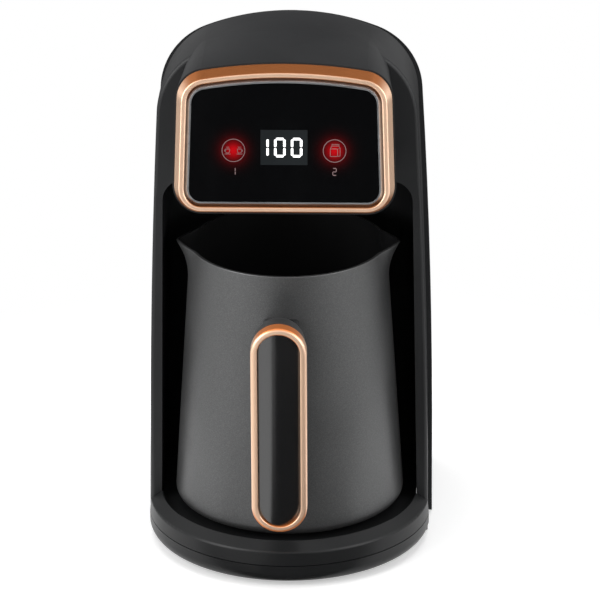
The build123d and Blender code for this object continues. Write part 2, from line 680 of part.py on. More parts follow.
with BuildPart() as front_shell:
    add(arch_solid(SHELL_STEP, 0, FRONT_Y, SEAM_TOP_Y))
    front_edges = front_shell.faces().sort_by(Axis.Y)[0].edges()
    fillet(front_edges.sort_by(Axis.Z)[1:], EDGE_ROUND)
    split(bisect_by=SEAM_PLANE, keep=Keep.TOP)
    add(hood_solid(HOOD_MARGIN, HOOD_FACE, -HOOD_FLUSH))
    add(
        arch_solid(SHELL_STEP, SHELL_WALL, FRONT_Y + SHELL_WALL, SEAM_TOP_Y),
        mode=Mode.SUBTRACT,
    )
    add(recess_solid(LINER_WALL, FRONT_Y, LINER_BACK_Y, RECESS_BACK_CORNER + LINER_WALL))
    # posts for the rear shell's screws, the upper pair on ribs over the recess
    low_start = RECESS_BACK_Y - LINER_WALL
    post(facing_back(low_start), LOWER_POSTS, POST_RADIUS, POST_END_Y - low_start)
    high_start = FRONT_Y + UPPER_POST_START
    post(facing_back(high_start), UPPER_POSTS, POST_RADIUS, POST_END_Y - high_start)
    rib_low = RECESS_TOP - RECESS_BACK_CORNER
    for x, z in UPPER_POSTS:
        block((x - RIB_THICK / 2, high_start, rib_low), (x + RIB_THICK / 2, LINER_BACK_Y, z))
    # pillars over the pan, on webs behind the liner
    post(Plane.XY.offset(PILLAR_FOOT), REAR_PILLARS, POST_RADIUS, REAR_PILLAR_TOP - PILLAR_FOOT)
    for x, y in REAR_PILLARS:
        block(
            (x - RIB_THICK / 2, RECESS_BACK_Y, PILLAR_FOOT + RIB_THICK),
            (x + RIB_THICK / 2, y, REAR_PILLAR_TOP),
        )
    # standoffs of the power board
    post(facing_back(RECESS_BACK_Y), POWER_POINTS, BOSS_RADIUS, LINER_WALL + POWER_BOARD_GAP)
    # the recess and the hollow of the hood
    add(
        recess_solid(0, FRONT_Y - PAST, RECESS_BACK_Y, RECESS_BACK_CORNER),
        mode=Mode.SUBTRACT,
    )
    add(
        hood_solid(HOOD_MARGIN - HOOD_WALL, HOOD_BACK_FACE, HOOD_HOLLOW_SINK),
        mode=Mode.SUBTRACT,
    )
    # opening behind the glass, and the display board's bosses
    with BuildSketch(HOOD_FACE):
        with Locations((0, BOARD_MIDDLE)):
            RectangleRounded(FACE_OPENING_WIDTH, FACE_OPENING_HEIGHT, OPENING_CORNER)
    extrude(amount=-2 * HOOD_WALL, mode=Mode.SUBTRACT)
    boss_length = BOARD_SUNK - TRIM_PROUD - HOOD_WALL
    post(HOOD_BACK_FACE, BOARD_POINTS, BOSS_RADIUS, -boss_length)
    # opening in the underside for the boil sensor's cover
    with BuildSketch(UNDERSIDE):
        with Locations((0, COVER_MIDDLE_Y)):
            RectangleRounded(COVER_WIDTH, COVER_DEPTH, COVER_CORNER)
    extrude(amount=2 * HOOD_WALL, mode=Mode.SUBTRACT)
    # screw holes
    post(BOARD_FACE, BOARD_POINTS, SMALL_PILOT, boss_length, mode=Mode.SUBTRACT)
    post(facing_back(POST_END_Y), REAR_POSTS, SHELL_PILOT, -POST_LENGTH, mode=Mode.SUBTRACT)
    power_face = facing_back(POWER_BOARD_Y)
    post(power_face, POWER_POINTS, SMALL_PILOT, -POWER_BOARD_GAP, mode=Mode.SUBTRACT)
    pillar_end = Plane.XY.offset(PILLAR_FOOT)
    post(pillar_end, REAR_PILLARS, SHELL_PILOT, BASE_SCREW_LENGTH, mode=Mode.SUBTRACT)
    # room for the pan's floor between the legs, and a way for the wires
    tongue_half = TONGUE_WIDTH / 2 + POT_CLEAR
    tongue_top = PAN_TOP + POT_CLEAR
    block(
        (-tongue_half, FRONT_Y - PAST, -REACH),
        (tongue_half, BACK_Y, tongue_top),
        mode=Mode.SUBTRACT,
    )
    way_half = 2 * WIRE_X
    block(
        (-way_half, RECESS_BACK_Y - PAST, -REACH),
        (way_half, LINER_BACK_Y + PAST, FLOOR_UNDER),
        mode=Mode.SUBTRACT,
    )
    trim_below(FOOT_HEIGHT)
export(front_shell, "front_shell")

with BuildPart() as rear_shell:
    add(arch_solid(0, 0, FRONT_Y, BACK_Y, BACK_ROUND))
    add(
        arch_solid(0, SHELL_WALL, FRONT_Y - PAST, BACK_INNER_Y, BACK_ROUND - SHELL_WALL),
        mode=Mode.SUBTRACT,
    )
    split(bisect_by=SEAM_PLANE, keep=Keep.BOTTOM)
    # screw wells in the back
    well_length = BACK_INNER_Y - POST_END_Y + PAST
    post(facing_back(POST_END_Y), REAR_POSTS, WELL_RADIUS + WELL_WALL, well_length)
    post(BACK_FACE, REAR_POSTS, WELL_RADIUS, -WELL_DEPTH, mode=Mode.SUBTRACT)
    post(BACK_FACE, REAR_POSTS, SHELL_HOLE, POST_END_Y - BACK_Y, mode=Mode.SUBTRACT)
    # air slots
    with BuildSketch(BACK_FACE):
        with Locations((0, VENT_HEIGHT)):
            with GridLocations(0, VENT_PITCH, 1, VENT_COUNT):
                SlotOverall(VENT_LENGTH, VENT_WIDTH)
    extrude(amount=-2 * SHELL_WALL, mode=Mode.SUBTRACT)
    # seat of the cord gland
    post(BACK_FACE, GLAND_PLACE, GLAND_RADIUS + GLAND_GAP, -2 * SHELL_WALL, mode=Mode.SUBTRACT)
    flange_seat = GLAND_FLANGE_RADIUS + GLAND_GAP
    post(BACK_FACE, GLAND_PLACE, flange_seat, -GLAND_FLANGE_THICK, mode=Mode.SUBTRACT)
    trim_below(FOOT_HEIGHT)
export(rear_shell, "rear_shell")

with BuildPart() as shell_screws:
    seat_to_tip = HEAD_SEAT_Y - POST_END_Y + POST_LENGTH - TIP_GAP
    screws(facing_back(HEAD_SEAT_Y), REAR_POSTS, SHELL_SCREW, seat_to_tip)
export(shell_screws, "shell_screws")

with BuildPart() as cord_gland:
    post(BACK_FACE, GLAND_PLACE, GLAND_FLANGE_RADIUS, -GLAND_FLANGE_THICK)
    post(BACK_FACE, GLAND_PLACE, GLAND_RADIUS, -GLAND_LENGTH)
    post(BACK_FACE, GLAND_PLACE, GLAND_BORE, -GLAND_LENGTH, mode=Mode.SUBTRACT)
export(cord_gland, "cord_gland")

with BuildPart() as gland_nut:
    with BuildSketch(facing_back(BACK_INNER_Y)):
        with Locations(*GLAND_PLACE):
            RegularPolygon(NUT_RADIUS, 6)
            Circle(GLAND_RADIUS + PILOT_GAP, mode=Mode.SUBTRACT)
    extrude(amount=-NUT_THICK)
export(gland_nut, "gland_nut")

# ---------------------------------------------------------------- underside of the hood
COVER_TOP_Z = RECESS_TOP + LINER_WALL + COVER_THICK
SENSOR_BOARD_Z = COVER_TOP_Z + SENSOR_POST_LENGTH
LENS_PLACE = [(0.0, POT_Y)]

with BuildPart() as sensor_cover:
    plug_width = COVER_WIDTH - 2 * COVER_FIT
    plug_depth = COVER_DEPTH - 2 * COVER_FIT
    with BuildSketch(UNDERSIDE):
        with Locations((0, COVER_MIDDLE_Y)):
            RectangleRounded(plug_width, plug_depth, COVER_CORNER)
    extrude(amount=LINER_WALL)
    with BuildSketch(UNDERSIDE.offset(LINER_WALL)):
        with Locations((0, COVER_MIDDLE_Y)):
            RectangleRounded(COVER_WIDTH + COVER_LIP, plug_depth, COVER_CORNER)
    extrude(amount=COVER_THICK)
    sensor_posts = [(side * SENSOR_POST_X, POT_Y) for side in (-1, 1)]
    post(Plane.XY.offset(COVER_TOP_Z), sensor_posts, LENS_RADIUS / 2, SENSOR_POST_LENGTH)
    post(UNDERSIDE, LENS_PLACE, LENS_RADIUS + RUNNING_GAP, 2 * LENS_THICK, mode=Mode.SUBTRACT)
export(sensor_cover, "sensor_cover")

with BuildPart() as boil_sensor_lens:
    post(UNDERSIDE, LENS_PLACE, LENS_RADIUS, LENS_THICK)
    fillet(boil_sensor_lens.faces().sort_by(Axis.Z)[0].edges(), EDGE_ROUND)
    post(Plane.XY.offset(COVER_TOP_Z), LENS_PLACE, LENS_FLANGE_RADIUS, LENS_FLANGE_THICK)
export(boil_sensor_lens, "boil_sensor_lens")

with BuildPart() as boil_sensor_board:
    half_width, half_depth = SENSOR_BOARD[0] / 2, SENSOR_BOARD[1] / 2
    board_top = SENSOR_BOARD_Z + BOARD_THICK
    block(
        (-half_width, POT_Y - half_depth, SENSOR_BOARD_Z),
        (half_width, POT_Y + half_depth, board_top),
    )
    chip = SENSOR_CHIP / 2
    block((-chip, POT_Y - chip, RECESS_TOP + LENS_THICK), (chip, POT_Y + chip, SENSOR_BOARD_Z))
export(boil_sensor_board, "boil_sensor_board")

# ---------------------------------------------------------------- control panel
BEZEL_OUT = TRIM_WIDTH + FIT
BEZEL_IN = BEZEL_OUT + BEZEL_WIDTH
GLASS_OUT = BEZEL_IN + FIT
KEYS = [(-KEY_SPREAD, KEY_RISE), (KEY_SPREAD, KEY_RISE)]

with BuildPart() as trim_ring:
    with BuildSketch(HOOD_FACE):
        add(panel_outline(0))
    extrude(amount=TRIM_EDGE)
    slope_start = HOOD_FACE.offset(TRIM_EDGE) * panel_outline(0)
    loft(sections=[slope_start, PANEL * face_outline(TRIM_SLOPE)])
    with BuildSketch(PANEL):
        add(face_outline(TRIM_WIDTH))
    extrude(amount=-TRIM_PROUD, mode=Mode.SUBTRACT)
    fillet(trim_ring.faces().sort_by(PANEL_AXIS)[-1].edges(), TRIM_ROUND)
export(trim_ring, "trim_ring")

with BuildPart() as bezel:
    with BuildSketch(PANEL.offset(-BEZEL_SUNK)):
        add(face_outline(BEZEL_OUT))
        add(face_outline(BEZEL_IN), mode=Mode.SUBTRACT)
    extrude(amount=BEZEL_SUNK - TRIM_PROUD)
    chamfer(bezel.faces().sort_by(PANEL_AXIS)[-1].outer_wire().edges(), BEZEL_SLOPE)
export(bezel, "bezel")

with BuildPart() as display_glass:
    with BuildSketch(GLASS_FACE):
        add(face_outline(GLASS_OUT))
        with Locations((0, WINDOW_RISE)):
            Rectangle(WINDOW_WIDTH + 2 * FIT, WINDOW_HEIGHT + 2 * FIT, mode=Mode.SUBTRACT)
    extrude(amount=GLASS_SUNK - TRIM_PROUD)
export(display_glass, "display_glass")

with BuildPart() as panel_print:
    with BuildSketch(GLASS_FACE):
        with Locations(*KEYS):
            Circle(KEY_RADIUS)
            Circle(KEY_RADIUS - KEY_LINE, mode=Mode.SUBTRACT)
        # two cups on the left key
        for shift in (-1, 1):
            with Locations((-KEY_SPREAD + shift * CUP_WIDTH, KEY_RISE)):
                Rectangle(CUP_WIDTH, CUP_WIDTH)
                Rectangle(CUP_WIDTH - 2 * KEY_LINE, CUP_WIDTH - 2 * KEY_LINE, mode=Mode.SUBTRACT)
        # a carton on the right key
        with Locations((KEY_SPREAD, KEY_RISE)):
            Rectangle(CARTON_WIDTH, CARTON_HEIGHT)
            Rectangle(CARTON_WIDTH - 2 * KEY_LINE, CARTON_HEIGHT - 2 * KEY_LINE, mode=Mode.SUBTRACT)
        with Locations((KEY_SPREAD, KEY_RISE + CARTON_HEIGHT / 2 - CARTON_ROOF)):
            Rectangle(CARTON_WIDTH, KEY_LINE)
        # plain numerals under the keys: 1 and 2
        for x, bars in ((-KEY_SPREAD, "bc"), (KEY_SPREAD, "abged")):
            with Locations((x, KEY_RISE - MARK_DROP)):
                add(numeral(MARK_WIDTH, MARK_HEIGHT, KEY_LINE, bars))
    extrude(amount=PRINT_HEIGHT)
export(panel_print, "panel_print")

with BuildPart() as display_module:
    with BuildSketch(GLASS_FACE.offset(MODULE_PROUD)):
        with Locations((0, WINDOW_RISE)):
            Rectangle(WINDOW_WIDTH, WINDOW_HEIGHT)
    extrude(amount=GLASS_SUNK - MODULE_PROUD - BOARD_SUNK)
export(display_module, "display_module")

with BuildPart() as display_digits:
    with BuildSketch(GLASS_FACE.offset(MODULE_PROUD)):
        for place, bars in ((-1, "bc"), (0, "abcdef"), (1, "abcdef")):
            with Locations((place * DIGIT_PITCH + DIGIT_SHIFT, WINDOW_RISE)):
                add(numeral(DIGIT_WIDTH, DIGIT_HEIGHT, DIGIT_STROKE, bars))
    extrude(amount=DIGIT_PROUD)
export(display_digits, "display_digits")

with BuildPart() as display_board:
    with BuildSketch(BOARD_FACE):
        with Locations((0, BOARD_MIDDLE)):
            RectangleRounded(BOARD_WIDTH, BOARD_HEIGHT, OPENING_CORNER)
        with Locations(*BOARD_POINTS):
            Circle(SMALL_HOLE, mode=Mode.SUBTRACT)
    extrude(amount=-BOARD_THICK)
    with BuildSketch(BOARD_BACK_FACE):
        with Locations(HEADER_PLACE):
            Rectangle(HEADER_SIZE[0], HEADER_SIZE[1])
    extrude(amount=-HEADER_SIZE[2])
export(display_board, "display_board")

with BuildPart() as board_screws:
    screws(BOARD_BACK_FACE, BOARD_POINTS, SMALL_SCREW, -BOARD_THICK - GRIP)
export(board_screws, "board_screws")

with BuildPart() as indicator_lights:
    post(BOARD_FACE, KEYS, LED_RADIUS, LED_LENGTH)
    fillet(indicator_lights.edges().group_by(PANEL_AXIS)[-1], LED_RADIUS / 2)
export(indicator_lights, "indicator_lights")

with BuildPart() as key_springs:
    spring_height = BOARD_SUNK - TRIM_PROUD - 2 * KEY_SPRING_WIRE - 2 * FIT
    for x, s in KEYS:
        coil_base = BOARD_FACE * Pos(x, s, KEY_SPRING_WIRE + FIT)
        coil = coil_base * Helix(KEY_SPRING_PITCH, spring_height, KEY_SPRING_RADIUS)
        with BuildSketch(Plane(origin=coil @ 0, z_dir=coil % 0)) as wire:
            Circle(KEY_SPRING_WIRE)
        sweep(wire.sketch, path=coil)
export(key_springs, "key_springs")

with BuildPart() as buzzer:
    post(BOARD_BACK_FACE, [BUZZER_PLACE], BUZZER_RADIUS, -BUZZER_LENGTH)
    buzzer_top = BOARD_BACK_FACE.offset(-BUZZER_LENGTH)
    post(buzzer_top, [BUZZER_PLACE], BUZZER_HOLE[0], BUZZER_HOLE[1], mode=Mode.SUBTRACT)
export(buzzer, "buzzer")

# ---------------------------------------------------------------- base
BASE_CUT_Y = FRONT_Y - SEAM_GAP

with BuildPart() as base_top:
    with BuildSketch(facing_front(POT_Y)) as profile:
        Polygon(
            (0, FLOOR_UNDER),
            (0, RECESS_FLOOR),
            (RING_INNER_RADIUS, RECESS_FLOOR),
            (RING_INNER_RADIUS, RING_TOP),
            (BASE_RADIUS - BASE_LEAN, RING_EDGE),
            (BASE_RADIUS, BASE_SEAM + SEAM_GAP / 2),
            (BASE_RADIUS - BASE_WALL, BASE_SEAM + SEAM_GAP / 2),
            (BASE_RADIUS - BASE_WALL, FLOOR_UNDER),
            align=None,
        )
        crest = profile.vertices().sort_by_distance((RING_INNER_RADIUS, RING_TOP))[0]
        fillet(crest, RING_CREST_ROUND)
        brow = profile.vertices().sort_by_distance((BASE_RADIUS, RING_EDGE))[0]
        fillet(brow, RING_BROW_ROUND)
    revolve(axis=POT_AXIS)
    lip_outer = BASE_RADIUS - BASE_WALL - LIP_GAP
    lip_plane = Plane.XY.offset(BASE_SEAM - LIP_HEIGHT)
    lip_rise = FLOOR_UNDER - BASE_SEAM + LIP_HEIGHT
    ring(lip_plane, (0, POT_Y), lip_outer - LIP_THICK, lip_outer, lip_rise)
    block((-REACH, BASE_CUT_Y, -REACH), (REACH, REACH, REACH), mode=Mode.SUBTRACT)
    add(recess_slab(FLOOR_UNDER, RECESS_FLOOR))
    # pillars over the pan and bosses for the heat shield
    shield_face = Plane.XY.offset(SHIELD_TOP)
    post(pillar_end, FRONT_PILLARS, POST_RADIUS, FLOOR_UNDER - PILLAR_FOOT)
    post(shield_face, SHIELD_POINTS, SHIELD_BOSS_RADIUS, FLOOR_UNDER - SHIELD_TOP)
    post(pillar_end, FRONT_PILLARS, SHELL_PILOT, FRONT_PILLAR_HOLE, mode=Mode.SUBTRACT)
    post(shield_face, SHIELD_POINTS, SMALL_PILOT, SHIELD_SCREW_LENGTH, mode=Mode.SUBTRACT)
    plate_hole = PLATE_RADIUS + SEAL_WIDTH
    post(Plane.XY.offset(FLOOR_UNDER), [(0, POT_Y)], plate_hole, FLOOR_THICK, mode=Mode.SUBTRACT)
export(base_top, "base_top")

with BuildPart() as base_pan:
    pan_low = BASE_SEAM - SEAM_GAP / 2
    with BuildSketch(facing_front(POT_Y)) as pan_profile:
        Polygon(
            (0, FOOT_HEIGHT),
            (BASE_RADIUS, FOOT_HEIGHT),
            (BASE_RADIUS, pan_low),
            (BASE_RADIUS - BASE_WALL, pan_low),
            (BASE_RADIUS - BASE_WALL, PAN_TOP),
            (0, PAN_TOP),
            align=None,
        )
        fillet(pan_profile.vertices().sort_by_distance((BASE_RADIUS, FOOT_HEIGHT))[0], PAN_ROUND)
        inner = (BASE_RADIUS - BASE_WALL, PAN_TOP)
        fillet(pan_profile.vertices().sort_by_distance(inner)[0], PAN_ROUND - BASE_WALL)
    revolve(axis=POT_AXIS)
    block((-REACH, BASE_CUT_Y, -REACH), (REACH, REACH, REACH), mode=Mode.SUBTRACT)
    # floor between the legs, and the wider floor behind the liner
    block(
        (-TONGUE_WIDTH / 2, BASE_CUT_Y - PAST, FOOT_HEIGHT),
        (TONGUE_WIDTH / 2, TONGUE_BACK_Y - BACK_ROUND, PAN_TOP),
    )
    back_start = LINER_BACK_Y + POT_CLEAR
    with BuildSketch(Plane.XY.offset(FOOT_HEIGHT)):
        with Locations((0, (back_start + TONGUE_BACK_Y) / 2)):
            RectangleRounded(PAN_BACK_WIDTH, TONGUE_BACK_Y - back_start, BACK_ROUND - SHELL_WALL)
    extrude(amount=PAN_THICK)
    # screw bosses with their wells, peg holes and air slots
    post(Plane.XY.offset(FOOT_HEIGHT), PILLARS, WELL_RADIUS + WELL_WALL, PILLAR_FOOT - FOOT_HEIGHT)
    post(Plane.XY, PILLARS, WELL_RADIUS, BASE_SCREW_SEAT, mode=Mode.SUBTRACT)
    post(Plane.XY, PILLARS, SHELL_HOLE, PILLAR_FOOT, mode=Mode.SUBTRACT)
    post(Plane.XY, FEET, FOOT_PEG + FIT, PAN_TOP, mode=Mode.SUBTRACT)
    with BuildSketch():
        with Locations((0, POT_Y)):
            with GridLocations(0, VENT_PITCH, 1, VENT_COUNT):
                SlotOverall(VENT_LENGTH, VENT_WIDTH)
    extrude(amount=PAN_TOP, mode=Mode.SUBTRACT)
export(base_pan, "base_pan")

with BuildPart() as base_screws:
    screws(Plane.XY.offset(BASE_SCREW_SEAT), PILLARS, SHELL_SCREW, -BASE_SCREW_LENGTH)
export(base_screws, "base_screws")

with BuildPart() as feet:
    post(Plane.XY, FEET, FOOT_RADIUS, FOOT_HEIGHT)
    fillet(feet.edges().group_by(Axis.Z)[0], FOOT_EDGE_ROUND)
    post(Plane.XY, FEET, FOOT_PEG, PAN_TOP)
export(feet, "feet")

# ---------------------------------------------------------------- heating plate and sensor
PLATE_MIDDLE = (0, POT_Y)
STANDOFFS = ring_points(STANDOFF_RING, (90, 210, 330))
SHIELD_SCREWS = SHIELD_POINTS + STANDOFFS
ELEMENT_Z = PLATE_UNDER
PIN_X = ELEMENT_RING * sin(radians(ELEMENT_GAP_HALF_ANGLE))
PIN_Y = POT_Y + ELEMENT_RING * cos(radians(ELEMENT_GAP_HALF_ANGLE))

with BuildPart() as heating_plate:
    post(Plane.XY.offset(PLATE_UNDER), [PLATE_MIDDLE], PLATE_RADIUS, PLATE_THICK)
    fillet(heating_plate.edges().group_by(Axis.Z)[-1], PLATE_EDGE_ROUND)
    with BuildSketch(facing_front(POT_Y)):
        with Locations((ELEMENT_RING, ELEMENT_Z)):
            Circle(ELEMENT_RADIUS + FIT)
    revolve(axis=POT_AXIS, mode=Mode.SUBTRACT)
    post(shield_face, STANDOFFS, STANDOFF_RADIUS, PLATE_UNDER - SHIELD_TOP)
    post(shield_face, STANDOFFS, SMALL_PILOT, SHIELD_SCREW_LENGTH, mode=Mode.SUBTRACT)
    post(Plane.XY, [PLATE_MIDDLE], SENSOR_RADIUS + RUNNING_GAP, PLATE_TOP, mode=Mode.SUBTRACT)
export(heating_plate, "heating_plate")

with BuildPart() as heating_element:
    start_angle = 90 + ELEMENT_GAP_HALF_ANGLE
    sweep_angle = 360 - 2 * ELEMENT_GAP_HALF_ANGLE
    with BuildLine():
        arc = CenterArc((0, POT_Y, ELEMENT_Z), ELEMENT_RING, start_angle, sweep_angle)
    with BuildSketch(Plane(origin=arc @ 0, z_dir=arc % 0)):
        Circle(ELEMENT_RADIUS)
    sweep()
    pins = [(-PIN_X, PIN_Y), (PIN_X, PIN_Y)]
    post(Plane.XY.offset(PIN_FOOT), pins, PIN_RADIUS, ELEMENT_Z - PIN_FOOT)
export(heating_element, "heating_element")

with BuildPart() as plate_seal:
    seal_inner = PLATE_RADIUS + FIT
    seal_outer = PLATE_RADIUS + SEAL_WIDTH - FIT
    floor_face = Plane.XY.offset(FLOOR_UNDER)
    ring(floor_face, PLATE_MIDDLE, seal_inner, seal_outer, FLOOR_THICK)
    ring(floor_face, PLATE_MIDDLE, seal_inner, PLATE_RADIUS + SEAL_FLANGE, -SEAL_WIDTH / 2)
export(plate_seal, "plate_seal")

with BuildPart() as heat_shield:
    post(Plane.XY.offset(SHIELD_UNDER), [PLATE_MIDDLE], SHIELD_RADIUS, SHIELD_THICK)
    cup_height = SHIELD_UNDER - CUP_FLOOR
    post(Plane.XY.offset(CUP_FLOOR), [PLATE_MIDDLE], CUP_RADIUS, cup_height)
    hollow = cup_height + SHIELD_THICK
    post(
        Plane.XY.offset(CUP_FLOOR + SHIELD_THICK),
        [PLATE_MIDDLE],
        CUP_RADIUS - SHIELD_THICK,
        hollow,
        mode=Mode.SUBTRACT,
    )
    post(Plane.XY, SHIELD_SCREWS, SMALL_HOLE, SHIELD_TOP, mode=Mode.SUBTRACT)
    post(Plane.XY, pins, 2 * PIN_RADIUS, SHIELD_TOP, mode=Mode.SUBTRACT)
export(heat_shield, "heat_shield")

with BuildPart() as shield_screws:
    grip = SHIELD_THICK + SHIELD_SCREW_LENGTH - FIT
    screws(Plane.XY.offset(SHIELD_UNDER), SHIELD_SCREWS, SMALL_SCREW, -grip)
export(shield_screws, "shield_screws")

with BuildPart() as thermal_fuse:
    fuse_z = PLATE_UNDER - FUSE_RADIUS
    with BuildSketch(Plane(origin=(-FUSE_LENGTH / 2, POT_Y - FUSE_AHEAD, fuse_z), z_dir=(1, 0, 0))):
        Circle(FUSE_RADIUS)
    extrude(amount=FUSE_LENGTH)
    lead_start = -FUSE_LENGTH / 2 - FUSE_LEAD
    with BuildSketch(Plane(origin=(lead_start, POT_Y - FUSE_AHEAD, fuse_z), z_dir=(1, 0, 0))):
        Circle(FUSE_LEAD_RADIUS)
    extrude(amount=-2 * lead_start)
export(thermal_fuse, "thermal_fuse")

with BuildPart() as sensor_cap:
    cap_foot = Plane.XY.offset(CAP_FLANGE_LOW)
    post(cap_foot, [PLATE_MIDDLE], SENSOR_RADIUS, PLATE_TOP - CAP_FLANGE_LOW)
    fillet(sensor_cap.edges().group_by(Axis.Z)[-1], CAP_EDGE_ROUND)
    post(cap_foot, [PLATE_MIDDLE], CAP_FLANGE_RADIUS, CAP_FLANGE_HIGH - CAP_FLANGE_LOW)
    hollow_height = PLATE_TOP - CAP_WALL - CAP_FLANGE_LOW
    post(
        cap_foot,
        [PLATE_MIDDLE],
        SENSOR_RADIUS - CAP_WALL,
        hollow_height,
        mode=Mode.SUBTRACT,
    )
export(sensor_cap, "sensor_cap")

with BuildPart() as sensor_spring:
    spring_foot = CUP_FLOOR + SHIELD_THICK + SPRING_WIRE
    spring_rise = CAP_FLANGE_LOW - SPRING_WIRE - spring_foot
    spring_radius = SENSOR_RADIUS + SPRING_WIRE
    turn = Pos(0, POT_Y, spring_foot) * Helix(spring_rise / SPRING_TURNS, spring_rise, spring_radius)
    with BuildSketch(Plane(origin=turn @ 0, z_dir=turn % 0)) as spring_wire:
        Circle(SPRING_WIRE)
    sweep(spring_wire.sketch, path=turn)
export(sensor_spring, "sensor_spring")

# ---------------------------------------------------------------- power board
BOARD_REAR_Y = POWER_BOARD_Y + BOARD_THICK

with BuildPart() as power_board:
    with BuildSketch(facing_back(POWER_BOARD_Y)):
        with Locations((0, POWER_BOARD_Z)):
            Rectangle(POWER_BOARD_WIDTH, POWER_BOARD_HEIGHT)
        with Locations(*POWER_POINTS):
            Circle(SMALL_HOLE, mode=Mode.SUBTRACT)
    extrude(amount=BOARD_THICK)
    on_board(POWER_HEADER)
export(power_board, "power_board")

with BuildPart() as relay:
    on_board(RELAY)
export(relay, "relay")

with BuildPart() as transformer:
    on_board(TRANSFORMER)
    fillet(transformer.edges().filter_by(Axis.Y), TRANSFORMER_ROUND)
export(transformer, "transformer")

with BuildPart() as capacitor:
    post(facing_back(BOARD_REAR_Y), [CAPACITOR_PLACE], CAPACITOR_RADIUS, CAPACITOR_LENGTH)
    fillet(capacitor.faces().sort_by(Axis.Y)[-1].edges(), CAPACITOR_ROUND)
export(capacitor, "capacitor")

with BuildPart() as terminal_block:
    on_board(TERMINALS)
    entries = [(side * WIRE_X, BOARD_REAR_Y + TERMINALS[4] / 2) for side in (-1, 1)]
    entry_face = Plane.XY.offset(TERMINALS[1])
    post(entry_face, entries, WIRE_RADIUS + FIT, WIRE_ENTRY, mode=Mode.SUBTRACT)
export(terminal_block, "terminal_block")

with BuildPart() as power_board_screws:
    screws(facing_back(BOARD_REAR_Y), POWER_POINTS, SMALL_SCREW, BOARD_THICK + GRIP)
export(power_board_screws, "power_board_screws")

with BuildPart() as heater_wires:
    for side, entry in zip((-1, 1), entries):
        with BuildLine():
            lead = FilletPolyline(
                (side * PIN_X, PIN_Y + PIN_RADIUS, WIRE_Z),
                (side * WIRE_X, entry[1], WIRE_Z),
                (side * WIRE_X, entry[1], TERMINALS[1] + WIRE_ENTRY - WIRE_END_GAP),
                radius=BEND,
            )
        with BuildSketch(Plane(origin=lead @ 0, z_dir=lead % 0)):
            Circle(WIRE_RADIUS)
        sweep()
export(heater_wires, "heater_wires")

with BuildPart() as display_cable:
    header_depth = HEADER_SIZE[2] + CABLE_GAP
    header_back = BOARD_BACK_FACE.from_local_coords((CABLE_X, HEADER_PLACE[1], -header_depth))
    with BuildLine():
        run = FilletPolyline(
            (CABLE_X, header_back.Y, header_back.Z),
            (CABLE_X, header_back.Y + 2 * BEND, header_back.Z),
            (CABLE_X, CABLE_DROP_Y, CABLE_Z),
            (CABLE_X, CABLE_DROP_Y, POWER_HEADER[3]),
            radius=BEND,
        )
    with BuildSketch(Plane(origin=run @ 0, z_dir=run % 0)):
        Circle(CABLE_RADIUS)
    sweep()
export(display_cable, "display_cable")

# ---------------------------------------------------------------- pot
with BuildPart() as pot_vessel:
    with BuildSketch(facing_front(POT_Y)) as wall:
        floor_z = POT_BOTTOM_Z + POT_FLOOR
        Polygon(
            (0, POT_FOOT_Z),
            (POT_PAD_RADIUS, POT_FOOT_Z),
            (POT_PAD_RADIUS, POT_BOTTOM_Z),
            (POT_FOOT_RADIUS, POT_BOTTOM_Z),
            (POT_RIM_RADIUS, POT_RIM_Z),
            (0, POT_RIM_Z),
            align=None,
        )
        fillet(wall.vertices().sort_by_distance((POT_FOOT_RADIUS, POT_BOTTOM_Z))[0], POT_EDGE_ROUND)
    revolve(axis=POT_AXIS)
    add(spout_solid(0))
    add(spout_solid(0).mirror(Plane.YZ))
    with BuildSketch(facing_front(POT_Y)) as room:
        Polygon(
            (0, floor_z),
            (pot_radius(floor_z) - POT_WALL, floor_z),
            (POT_RIM_RADIUS - POT_WALL, POT_RIM_Z),
            (0, POT_RIM_Z),
            align=None,
        )
        corner = (pot_radius(floor_z) - POT_WALL, floor_z)
        fillet(room.vertices().sort_by_distance(corner)[0], POT_EDGE_ROUND - POT_WALL)
    revolve(axis=POT_AXIS, mode=Mode.SUBTRACT)
    add(spout_solid(POT_WALL), mode=Mode.SUBTRACT)
    add(spout_solid(POT_WALL).mirror(Plane.YZ), mode=Mode.SUBTRACT)
export(pot_vessel, "pot_vessel")

with BuildPart() as pot_base_ring:
    ring_z = POT_FOOT_Z + POT_CLEAR
    ring_rise = POT_BOTTOM_Z - ring_z
    ring(Plane.XY.offset(ring_z), PLATE_MIDDLE, POT_PAD_RADIUS + FIT, POT_RING_RADIUS, ring_rise)
export(pot_base_ring, "pot_base_ring")

HANDLE_BACK_Y = HANDLE_FRONT_Y + HANDLE_RING_DEPTH + HANDLE_BACK_DEPTH
HANDLE_MIDDLE = (HANDLE_X, HANDLE_FOOT + HANDLE_HEIGHT / 2)
HANDLE_SEAM_FACE = facing_front(HANDLE_FRONT_Y + HANDLE_RING_DEPTH)
BRACKET_MIDDLE = [(HANDLE_X, (BRACKET_LOW + BRACKET_HIGH) / 2)]
BRACKET_LEFT = HANDLE_X - BRACKET_WIDTH / 2
BRACKET_RIGHT = HANDLE_X + BRACKET_WIDTH / 2

with BuildPart() as handle_back:
    with BuildSketch(HANDLE_SEAM_FACE):
        with Locations(HANDLE_MIDDLE):
            stadium(HANDLE_WIDTH, HANDLE_HEIGHT, HANDLE_INSET)
    extrude(amount=-HANDLE_BACK_DEPTH)
    fillet(handle_back.faces().sort_by(Axis.Y)[-1].edges(), HANDLE_BACK_ROUND)

